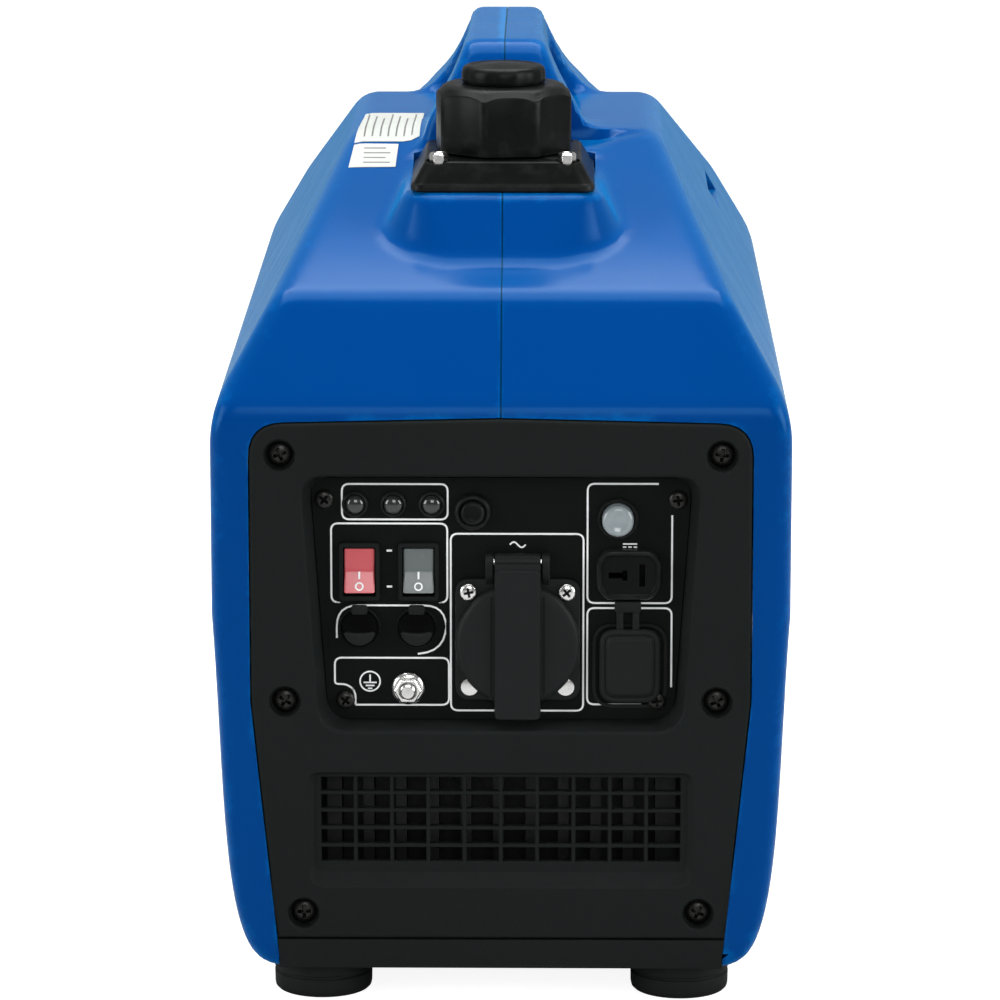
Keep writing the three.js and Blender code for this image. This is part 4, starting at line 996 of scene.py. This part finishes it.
def tilted(made):
    """A rocker's mesh turned to its rest position, about its pivot."""
    pivot = Vector((0, PIVOT_Y, ROCKER_Z)) * MM
    spin = Matrix.Rotation(math.radians(ROCKER_TILT), 4, "X")
    made.data.transform(Matrix.Translation(pivot) @ spin @ Matrix.Translation(-pivot))
    return made


def build_rockers():
    rockers = (("engine_rocker_cap", "engine_switch_rocker", "engine_rocker", -57.7, "red"),
               ("eco_rocker_cap", "eco_switch_rocker", "eco_rocker", -33.6, "grey"))
    for name, node, body, x, key in rockers:
        # Two flat pads that meet in a soft trough
        outline = [(-4.6, -9.0), (-4.2, -9.25), (-3.2, -9.1), (3, -6.4), (4.4, 0), (3, 6.4), (-3.2, 9.1),
                   (-4.2, 9.25), (-4.6, 9.0), (-4.4, 6.8), (-3.75, 2.4), (-3.5, 0.9), (-3.45, 0),
                   (-3.5, -0.9), (-3.75, -2.4), (-4.4, -6.8)]
        outline = [(PIVOT_Y + y, ROCKER_Z + z) for y, z in outline]
        rings = [(grown_any(outline, -0.75), x - 6.3), (grown_any(outline, -0.25), x - 6.05),
                 (outline, x - 5.5), (outline, x + 5.5), (grown_any(outline, -0.25), x + 6.05),
                 (grown_any(outline, -0.75), x + 6.3)]
        made = tilted(loft(name, "X", rings, key, 40))
        keep(finish_edges(made, 42), body, key + "_plastic", node)
        stroke = ribbon("stroke", [(x, 176.6), (x, 179.6)], 0.75, "white", PIVOT_Y - 4.1, PIVOT_Y - 3.7)
        ring = ribbon("ring", circle(x, 173.6, 1.45, 28), 0.6, "white", PIVOT_Y - 4.62, PIVOT_Y - 4.0, True)
        keep(tilted(joined(name + "_marks", [stroke, ring])), body, PRINT_SLOT)


def grown_any(outline, amount):
    """Like grown, for an outline in either order."""
    area = sum(a[0] * b[1] - b[0] * a[1] for a, b in zip(outline, outline[1:] + outline[:1]))
    if area > 0:
        return grown(outline, amount)
    return list(reversed(grown(list(reversed(outline)), amount)))


def build_lamps():
    for name, x in (("lamp_oil", -59.4), ("lamp_overload", -43.8), ("lamp_output", -28.2)):
        collar = at_front((5.3, 10.9), (5.35, 10.2), (5.0, 9.5), (4.5, 9.25), (4.15, 9.5), (4.1, 10.9))
        keep(turned(name + "_ring", "Y", (x, LAMP_Z), collar, "cap", 36, 50), "generator", "black_plastic")
        lens = at_front((3.9, 20), (3.9, 9.6), (3.75, 8.9), (3.2, 8.2), (2.2, 7.7), (1.0, 7.45), (0.05, 7.4))
        keep(turned(name + "_lens", "Y", (x, LAMP_Z), lens, "lens", 32, 60), "generator", "clear_plastic",
             name)


def build_button(prefix, body, slot, spot, collar, cap, key, count):
    """A push button in its collar."""
    ring = ring_closed(turned(f"{prefix}_collar_body", "Y", spot, collar, "cap", 48, 40), 48, len(collar))
    keep(ring, "generator", "black_plastic", f"{prefix}_collar")
    keep(turned(f"{prefix}_button_body", "Y", spot, cap, key, count, 60), body, slot, f"{prefix}_button")


def build_buttons():
    build_button("ac_reset", "reset_button", "black_plastic", RESET_BUTTON,
                 at_front((5.25, 24), (6.15, 24), (6.15, 10.72), (7.55, 10.7), (7.6, 10.0), (7.35, 8.7),
                          (6.9, 7.9), (6.2, 7.6), (5.6, 7.8), (5.25, 8.3)),
                 at_front((4.9, 20), (4.9, 7.2), (4.75, 6.5), (4.3, 6.0), (3.4, 5.75), (2.9, 5.9),
                          (2.4, 6.05), (0.05, 6.1)), "cap", 40)
    build_button("dc_breaker", "breaker_button", "clear_plastic", BREAKER_BUTTON,
                 at_front((6.85, 24), (7.55, 24), (7.55, 10.72), (8.35, 10.7), (8.4, 9.9), (8.2, 8.9),
                          (7.7, 8.4), (7.2, 8.5), (6.85, 8.9)),
                 at_front((6.45, 20), (6.45, 7.2), (6.3, 6.9), (6.3, 6.3), (6.45, 6.0), (6.4, 4.9),
                          (6.0, 4.1), (5.2, 3.6), (4.0, 3.4), (3.7, 3.6), (0.05, 3.7)), "clear", 48)


def ring_closed(made, count, stations):
    """Close a turned ring: its end caps go, and its last ring joins its first."""
    work = bmesh.new()
    work.from_mesh(made.data)
    big = [f for f in work.faces if len(f.verts) > 4]
    bmesh.ops.delete(work, geom=big, context="FACES_ONLY")
    work.verts.ensure_lookup_table()
    first, last = 0, (stations - 1) * count
    for i in range(count):
        j = (i + 1) % count
        work.faces.new([work.verts[k] for k in (first + i, first + j, last + j, last + i)])
    bmesh.ops.recalc_face_normals(work, faces=work.faces)
    work.to_mesh(made.data)
    work.free()
    return sharpened(made, 42)


def build_ground():
    washer = at_front((3.35, 10.6), (6.6, 10.6), (6.8, 10.3), (6.7, 9.9), (6.1, 9.3), (5.6, 9.0), (3.35, 9.0))
    washer = ring_closed(turned("nut_flange", "Y", GROUND_STUD, washer, "steel", 48, 40), 48, len(washer))
    nut = turned("nut", "Y", GROUND_STUD, at_front((5.75, 9.1), (5.75, 5.6), (5.0, 5.05)), "steel", 6, 30)
    bore = turned("nut_bore", "Y", GROUND_STUD, at_front((3.3, 12), (3.3, 5.5), (3.9, 4.8)), "steel", 28)
    boolean(nut, [bore])
    keep(finish_edges(joined("ground_nut_body", [washer, nut]), 30, 0.2), "earth_nut", "steel", "ground_nut")
    stations = at_front((3.0, 16))
    y = FRONT + 10.4
    while y > FRONT + 3.4:
        stations += [(3.0, y), (2.62, y - 0.35)]
        y -= 0.7
    stations += at_front((2.95, 3.2), (2.5, 2.7), (0.05, 2.6))
    bolt = turned("ground_stud", "Y", GROUND_STUD, stations, "steel", 28, 28)
    head = turned("stud_head", "Y", GROUND_STUD, at_front((5.8, 14.3), (5.8, 18)), "steel", 6, 30)
    keep(joined("ground_bolt_body", [bolt, head]), "generator", "steel", "ground_bolt")


def flap_depth(u, v):
    """How far behind the front face a parallel flap's rubber lies, at a place on its disc."""
    r = math.hypot(u, v) / FLAP_RADIUS
    fold = 1 / (1 + math.exp(-(v + 1.0 - 0.055 * u * u) / 0.42))
    edge = max(0.0, r - 0.9) / 0.1
    return (6.15 + 0.5 * r * r) * (1 - fold) + (8.1 - 1.3 * r ** 3) * fold + 0.5 * edge * edge


def build_flaps():
    """Two rubber discs, each hollowed above a soft lip that crosses it, with a hinge tab at the top. The disc's
    rubber is darkened with painted shade for the hollow, and the lip is lightened with painted light.
    """
    rings, count, z = 12, 48, PARALLEL_Z
    around = [2 * math.pi * i / count for i in range(count)]
    for number, x, body in ((1, -57.7, "parallel_flap_left"), (2, -34.4, "parallel_flap_right")):
        points = [(x, FRONT + flap_depth(0, 0), z)]
        for k in range(1, rings + 1):
            r = FLAP_RADIUS * k / rings
            for u, v in ((r * math.cos(a), r * math.sin(a)) for a in around):
                points.append((x + u, FRONT + flap_depth(u, v), z + v))
        back = len(points)
        points += [(x + 7.2 * math.cos(a), FRONT + 8.7, z + 7.2 * math.sin(a)) for a in around]
        faces = [(0, 1 + (i + 1) % count, 1 + i) for i in range(count)]
        faces += [*skin(count, rings + 1, 1), tuple(back + i for i in range(count))]
        # The disc takes the darker rubber: painted shade in its hollow
        disc = mesh_object(f"parallel_flap_{number}_disc", points, faces, "painted_shade_disc")
        outward(disc)
        disc.data.set_sharp_from_angle(angle=math.radians(60))
        keep(disc, body, "rubber", f"parallel_flap_{number}")
        keep(prism(f"parallel_flap_{number}_tab", "Y", rectangle(x, z + 8.1, 3.3, 1.9, 1.2, 3), FRONT + 8.7,
                   FRONT + 6.5, "rubber", 0.4), body, "rubber")
        # The lip takes the lighter, glossier lid finish instead of the flap's rubber: painted light where the
        # lip faces up
        crescent = [(x + 6.7 * math.cos(math.radians(a)), z + 6.7 * math.sin(math.radians(a)))
                    for a in range(192, 349, 12)]
        crescent += [(x + u, z - 1.4 + 0.02 * u * u) for u in (5.6, 3.7, 1.8, 0.0, -1.8, -3.7, -5.6)]
        keep(prism(f"parallel_flap_{number}_lip", "Y", crescent, FRONT + 7.6, FRONT + 5.7, "lid", 0.7), body,
             "rubber")
        rim = at_front((8.0, 10.9), (8.6, 10.9), (8.5, 9.8), (8.1, 9.2), (7.75, 9.4), (7.7, 10.9))
        rim = ring_closed(turned(f"parallel_rim_{number}", "Y", (x, z), rim, "rubber", 48, 50), 48, len(rim))
        keep(rim, "generator", "rubber")


def build_mains_socket():
    cx, cz = MAINS_SOCKET
    hinge_z = MAINS_HINGE[1]
    top = FRONT + 8.2
    square = rectangle(cx, cz, 25.4, 25.4, 6, 6)
    flange = prism("socket_flange", "Y", square, FRONT + 10.7, top, "socket", 0.8)
    barrel = turned("barrel", "Y", MAINS_SOCKET, at_front((21.5, 10.2), (21.5, 44)), "socket", 56)
    bridge = prism("bridge", "Y", rectangle(cx, (cz + 22.4 + hinge_z - 4.4) / 2, 13.1,
                                            (hinge_z - 4.4 - cz - 22.4) / 2, 1, 3),
                   FRONT + 10.7, top, "socket", 0.5)
    boolean(flange, [barrel, bridge], "UNION")
    lugs = []
    for side in (-1, 1):
        outline = rounded([(FRONT + 10.7, hinge_z - 10), (FRONT + 10.7, hinge_z + 3.4, 1.5),
                           (FRONT + 3.6, hinge_z + 3.4, 3.2), (FRONT + 3.6, hinge_z - 5, 3),
                           (FRONT + 8.3, hinge_z - 10)], 4)
        a, b = sorted((cx + side * 9.75, cx + side * 13.1))
        lugs.append(loft("lug", "X", [(grown_any(outline, -0.5), a), (outline, a + 0.5), (outline, b - 0.5),
                                      (grown_any(outline, -0.5), b)], "socket", 34))
    boolean(flange, lugs, "UNION")
    well = turned("well", "Y", MAINS_SOCKET, at_front((20.4, 7.9), (19.2, 9.0), (18.8, 26)), "socket", 56)
    pin_hole = turned("pin_hole", "X", MAINS_HINGE, [(1.6, cx - 20), (1.6, cx + 20)], "socket", 20)
    slots = [block("slot", (cx + sx - 1.1, FRONT + 24, cz - 2.2), (cx + sx + 1.1, FRONT + 34, cz + 6.2))
             for sx in (-6.4, 6.4)]
    slots.append(turned("earth", "Y", (cx, cz - 8.5), at_front((2.6, 24), (2.6, 34)), "socket", 24))
    boolean(flange, [well, pin_hole, *slots])
    flange.name = "ac_socket_face"
    finish_edges(refinished(flange, "socket"), 36)
    keep(flange, "generator", "black_plastic", "ac_socket_body")
    for i, side in enumerate((-1, 1)):
        screw(f"socket_screw_{i + 1}", (cx + side * 20, 172), top, 3.7, 1.9, "steel", 0.2 + i * 0.5)
    for i, side in enumerate((-1, 1)):
        plain = turned(f"socket_screw_{i + 3}", "Y", (cx + side * 19.6, 132.2),
                       [(3.6, top), (3.55, top - 0.2), (3.1, top - 0.33), (0.2, top - 0.36)], "steel", 28, 40)
        keep(plain, "generator", "steel")


def build_mains_lid():
    """A round cover with a rolled edge under a long flat tongue, and a knuckle around the hinge pin."""
    cx = MAINS_LID[0]
    hinge_z = MAINS_HINGE[1]
    disc = turned("ac_lid_cover", "Y", MAINS_LID,
                  at_front((0.05, 7.8), (24.8, 7.8), (25.5, 7.4), (25.6, 6.6), (25.3, 5.5), (24.6, 4.6),
                           (23.4, 4.0), (21.6, 3.65), (12.0, 3.5), (0.05, 3.5)), "socket", 72, 40)
    low, high = 120.0, 182.6             # where the tongue ends
    outline = rectangle(cx, (low + high) / 2, 9.4, (high - low) / 2, 2.2, 5)
    tongue = loft("tongue", "Y", at_front((outline, 5.2), (outline, 1.6), (grown(outline, -0.3), 1.05),
                                          (grown(outline, -0.9), 0.8)), "socket", 36)
    arm = block("arm", (cx - 9.3, FRONT + 1.7, hinge_z - 9), (cx + 9.3, FRONT + 6, hinge_z))
    knuckle = turned("knuckle", "X", MAINS_HINGE, [(3.0, cx - 9.4), (3.4, cx - 9.0), (3.4, cx + 9.0),
                                                   (3.0, cx + 9.4)], "socket", 36)
    boolean(disc, [tongue, arm, knuckle], "UNION")
    grooves = [block("groove", (x - 0.45, FRONT + 2.9, 129), (x + 0.45, FRONT + 4.3, 171))
               for x in (cx - 10.6, cx + 10.6)]
    bore = turned("bore", "X", MAINS_HINGE, [(1.6, cx - 20), (1.6, cx + 20)], "socket", 20)
    boolean(disc, [*grooves, bore])
    finish_edges(refinished(disc, "lid"), 36)
    keep(disc, "ac_lid", "black_plastic", "ac_socket_lid")


def build_charging():
    """The low-voltage socket, and the rubber cover that hangs over the charging sockets on two straps."""
    x, z = LOW_VOLTAGE
    outline = rounded([(x - 13.1, z - 5.5, 2.5), (x - 9.6, z - 10.3, 3), (x + 9.6, z - 10.3, 3),
                       (x + 13.1, z - 5.5, 2.5), (x + 13.1, z + 5.5, 2.5), (x + 9.6, z + 10.3, 3),
                       (x - 9.6, z + 10.3, 3), (x - 13.1, z + 5.5, 2.5)], 5)
    face = loft("dc_socket_face", "Y", at_front((outline, 10.7), (outline, 7.0), (grown(outline, -0.4), 6.3),
                                                (grown(outline, -1.3), 6.0), (grown(outline, -2.0), 6.05),
                                                (grown(outline, -2.5), 6.6)), "cap", 36)
    body = block("body", (x - 10, FRONT + 10.2, z - 8.3), (x + 10, FRONT + 30, z + 8.3))
    boolean(face, [body], "UNION")
    holes = [block("slot", (x - 8.2, FRONT + 4, z - 1.2), (x - 1.0, FRONT + 17, z + 1.2)),
             block("slot", (x - 2.6, FRONT + 4.1, z - 2.1), (x - 0.6, FRONT + 17.2, z + 2.1)),
             block("slot", (x + 4.3, FRONT + 4, z - 4.6), (x + 6.6, FRONT + 17, z + 4.6))]
    boolean(face, holes)
    keep(finish_edges(refinished(face, "cap"), 36), "generator", "black_plastic", "dc_socket")
    (x, z), half_x, half_z = CHARGING, 12.4, 15.4
    pad = rounded([(x - half_x, z - half_z, 7), (x + half_x, z - half_z, 7), (x + half_x, z + half_z, 6.5),
                   (x - half_x, z + half_z, 6.5)], 7)
    inset_rings = [(grown(pad, -inset), depth) for inset, depth in
                   ((0.35, 5.9), (1.1, 5.5), (1.9, 5.6), (2.4, 6.0), (2.9, 5.7), (3.5, 4.9), (4.2, 4.55),
                    (5.0, 4.5))]
    cover = loft("usb_pad", "Y", at_front((grown(pad, -0.3), 8.7), (pad, 8.3), (pad, 6.6), *inset_rings),
                 "rubber", 60)
    parts = [cover]
    for left in (-5.6, 0.9):
        strap = prism("strap", "Y", rectangle(x + left + 1.5, z + (half_z - 3 + 25) / 2, 1.45,
                                              (25 - half_z + 3) / 2, 0.4, 2),
                      FRONT + 8.6, FRONT + 6.5, "rubber", 0.5)
        parts.append(strap)
    parts.append(prism("root", "Y", rectangle(x - 0.9, z + 24.8, 5.4, 2.2, 1.0, 3), FRONT + 8.7, FRONT + 6.0,
                       "rubber", 0.5))
    keep(joined("usb_cover_pad", parts), "usb_flap", "rubber", "usb_cover")
    surround = box_path(x - 14.6, z - 17.6, x + 14.6, z + 16.4, 8)
    rim = ribbon("charging_rim", surround, 1.3, "rubber", FRONT + 9.9, FRONT + 10.98, True)
    keep(rim, "generator", "rubber")


# Labels, feet and the starter rope

def surface_height(x, y):
    low, high = 250.0, 372.0
    for _ in range(40):
        middle = (low + high) / 2
        inside = casing_field(np.array([x]), np.array([y]), np.array([middle]))[0] < 0
        low, high = (middle, high) if inside else (low, middle)
    return low


def patch(name, corners, lift, thick, key, across=8, along=10):
    """A thin sheet on the casing's top. The corners (x, y) start at the front left and run anticlockwise."""
    points, faces = [], []
    for level in (lift + thick, lift):
        for j in range(along + 1):
            for i in range(across + 1):
                s, t = i / across, j / along
                x, y = ((a * (1 - s) + b * s) * (1 - t) + (d * (1 - s) + c * s) * t
                        for a, b, c, d in zip(*corners))
                points.append((x, y, surface_height(x, y) + level))
    wide = across + 1
    size = wide * (along + 1)
    for j in range(along):
        for i in range(across):
            a = j * wide + i
            faces.append((a, a + 1, a + wide + 1, a + wide))
            faces.append((size + a, size + a + wide, size + a + wide + 1, size + a + 1))
    rim = [*range(wide), *(j * wide + across for j in range(1, along + 1)),
           *(along * wide + i for i in range(across - 1, -1, -1)), *(j * wide for j in range(along - 1, 0, -1))]
    for a, b in zip(rim, rim[1:] + rim[:1]):
        faces.append((b, a, size + a, size + b))
    made = mesh_object(name, points, faces, key)
    outward(made)
    made.data.set_sharp_from_angle(angle=math.radians(40))
    return made


def build_labels():
    """Two blank labels: a pale sheet with plain grey bars and no lettering."""
    spots = (("label_upper", [(-64.4, -69), (-36.5, -69), (-36.0, -8), (-61.6, -8)], 7),
             ("label_lower", [(-66.0, -93.5), (-46.1, -93.0), (-45.4, -71.5), (-64.4, -71.0)], 4))
    for name, corners, bars in spots:
        keep(patch(name, corners, 0.12, 0.18, "label"), "generator", PRINT_SLOT)
        lines = []
        (x0, y0), (x1, _), _, (_, y1) = corners
        for k in range(bars):
            if name == "label_upper":
                x = x0 + (x1 - x0) * (k + 1.2) / (bars + 1.2)
                lines.append(patch("bar", [(x - 0.35, y0 + 5), (x + 0.35, y0 + 5),
                                           (x + 1.0, y1 - 5 - 6 * (k % 3)), (x + 0.3, y1 - 5 - 6 * (k % 3))],
                                   0.31, 0.05, "ink", 1, 10))
            else:
                y = y0 + (y1 - y0) * (k + 1) / (bars + 1)
                lines.append(patch("bar", [(x0 + 6, y - 0.5), (x1 - 2.5 - 2 * (k % 2), y - 0.5),
                                           (x1 - 2.5 - 2 * (k % 2), y + 0.5), (x0 + 6, y + 0.5)], 0.31, 0.05,
                                   "ink", 10, 1))
        keep(joined(name + "_bars", lines), "generator", PRINT_SLOT)


def build_feet():
    for end, y in (("front", FRONT + 25), ("rear", REAR - 25)):
        for side, x in (("left", -74), ("right", 74)):
            stations = [(19.4, 14.7), (20.3, 14.3), (20.3, 9.4), (19.7, 8.9), (19.7, 8.1), (20.3, 7.6),
                        (20.2, 2.6), (19.9, 1.2), (19.0, 0.3), (17.8, 0.0), (9.0, 0.0), (8.2, 0.8),
                        (0.1, 0.8)]
            made = turned(f"foot_{end}_{side}_pad", "Z", (x, y), stations, "rubber", 48, 36)
            keep(made, "generator", "rubber", f"foot_{end}_{side}")


def build_drawn_rope():
    """The last of the starter rope, a straight length out from its hole."""
    inner, outer, steps = -104.6, -112.6, 40
    stations = [(2.05, inner - (inner - outer) * k / steps) for k in range(steps + 1)]
    rope = turned("starter_rope_end", "X", STARTER_HOLE, stations, "rope", 20, 40)
    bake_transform(rope)


for build in (build_cap, build_knob, build_flange, build_panel, build_grille, build_print, build_rockers,
              build_lamps, build_buttons, build_ground, build_flaps, build_mains_socket, build_mains_lid,
              build_charging, build_labels, build_feet, build_drawn_rope):
    build()


# Stage

# Area lights: name, place and size in metres, power in watts, and what each aims at
LIGHTS = (("overhead", (0.0, 0.15, 1.7), 1.5, 44, (0, 0, 0.2)),
          ("left_window", (-1.6, -0.9, 0.7), 1.0, 20, (0, -0.1, 0.15)),
          ("right_window", (1.6, -0.8, 0.7), 1.0, 22, (0, -0.1, 0.15)),
          ("front_window", (0.2, -3.2, 1.4), 1.2, 24, (0, -0.2, 0.2)))


def add_stage():
    corners = [(-6000, -6000, 0), (6000, -6000, 0), (6000, 9000, 0), (-6000, 9000, 0)]
    floor = mesh_object("floor", corners, [(0, 1, 2, 3)], "label", False)
    plain = bpy.data.materials.new("pale_floor")
    plain.use_nodes = True
    shader = plain.node_tree.nodes["Principled BSDF"]
    shader.inputs["Base Color"].default_value = (0.5, 0.5, 0.5, 1)
    shader.inputs["Roughness"].default_value = 0.95
    shader.inputs["Specular IOR Level"].default_value = 0.05
    shader.inputs["Emission Color"].default_value = (1, 1, 1, 1)
    nodes, links = plain.node_tree.nodes, plain.node_tree.links
    sight = nodes.new("ShaderNodeLightPath").outputs["Is Camera Ray"]
    links.new(calculated(nodes, links, "MULTIPLY", sight, 0.9), shader.inputs["Emission Strength"])
    floor.data.materials[0] = plain
    floor.location.z = -0.0002
    world = bpy.data.worlds.new("studio")
    bpy.context.scene.world = world
    world.use_nodes = True
    nodes, links = world.node_tree.nodes, world.node_tree.links
    around = nodes.new("ShaderNodeTexCoord").outputs["Generated"]
    split = nodes.new("ShaderNodeSeparateXYZ")
    links.new(around, split.inputs["Vector"])
    # Dim in front of the panel, bright at the sides and behind
    turn = calculated(nodes, links, "MULTIPLY_ADD", split.outputs["Y"], 0.5, 0.5)
    glow = ramp(nodes, links, turn, [(0.0, 0.16), (0.2, 0.22), (0.5, 0.42), (1.0, 0.3)])
    dim = nodes["Background"]
    links.new(glow, dim.inputs["Color"])
    dim.inputs["Strength"].default_value = 1.0
    bright = nodes.new("ShaderNodeBackground")
    bright.inputs["Color"].default_value = (1, 1, 1, 1)
    seen_by = nodes.new("ShaderNodeLightPath").outputs["Is Camera Ray"]
    choose = nodes.new("ShaderNodeMixShader")
    links.new(seen_by, choose.inputs["Fac"])
    links.new(dim.outputs["Background"], choose.inputs[1])
    links.new(bright.outputs["Background"], choose.inputs[2])
    links.new(choose.outputs["Shader"], nodes["World Output"].inputs["Surface"])
    for name, place, size, power, aim in LIGHTS:
        light = bpy.data.lights.new(name, "AREA")
        light.size = size
        light.energy = power
        lamp = bpy.data.objects.new(name, light)
        lamp.location = place
        lamp.rotation_euler = (Vector(aim) - Vector(place)).to_track_quat("-Z", "Y").to_euler()
        bpy.context.collection.objects.link(lamp)
    bpy.context.scene.view_settings.view_transform = "Standard"


add_stage()
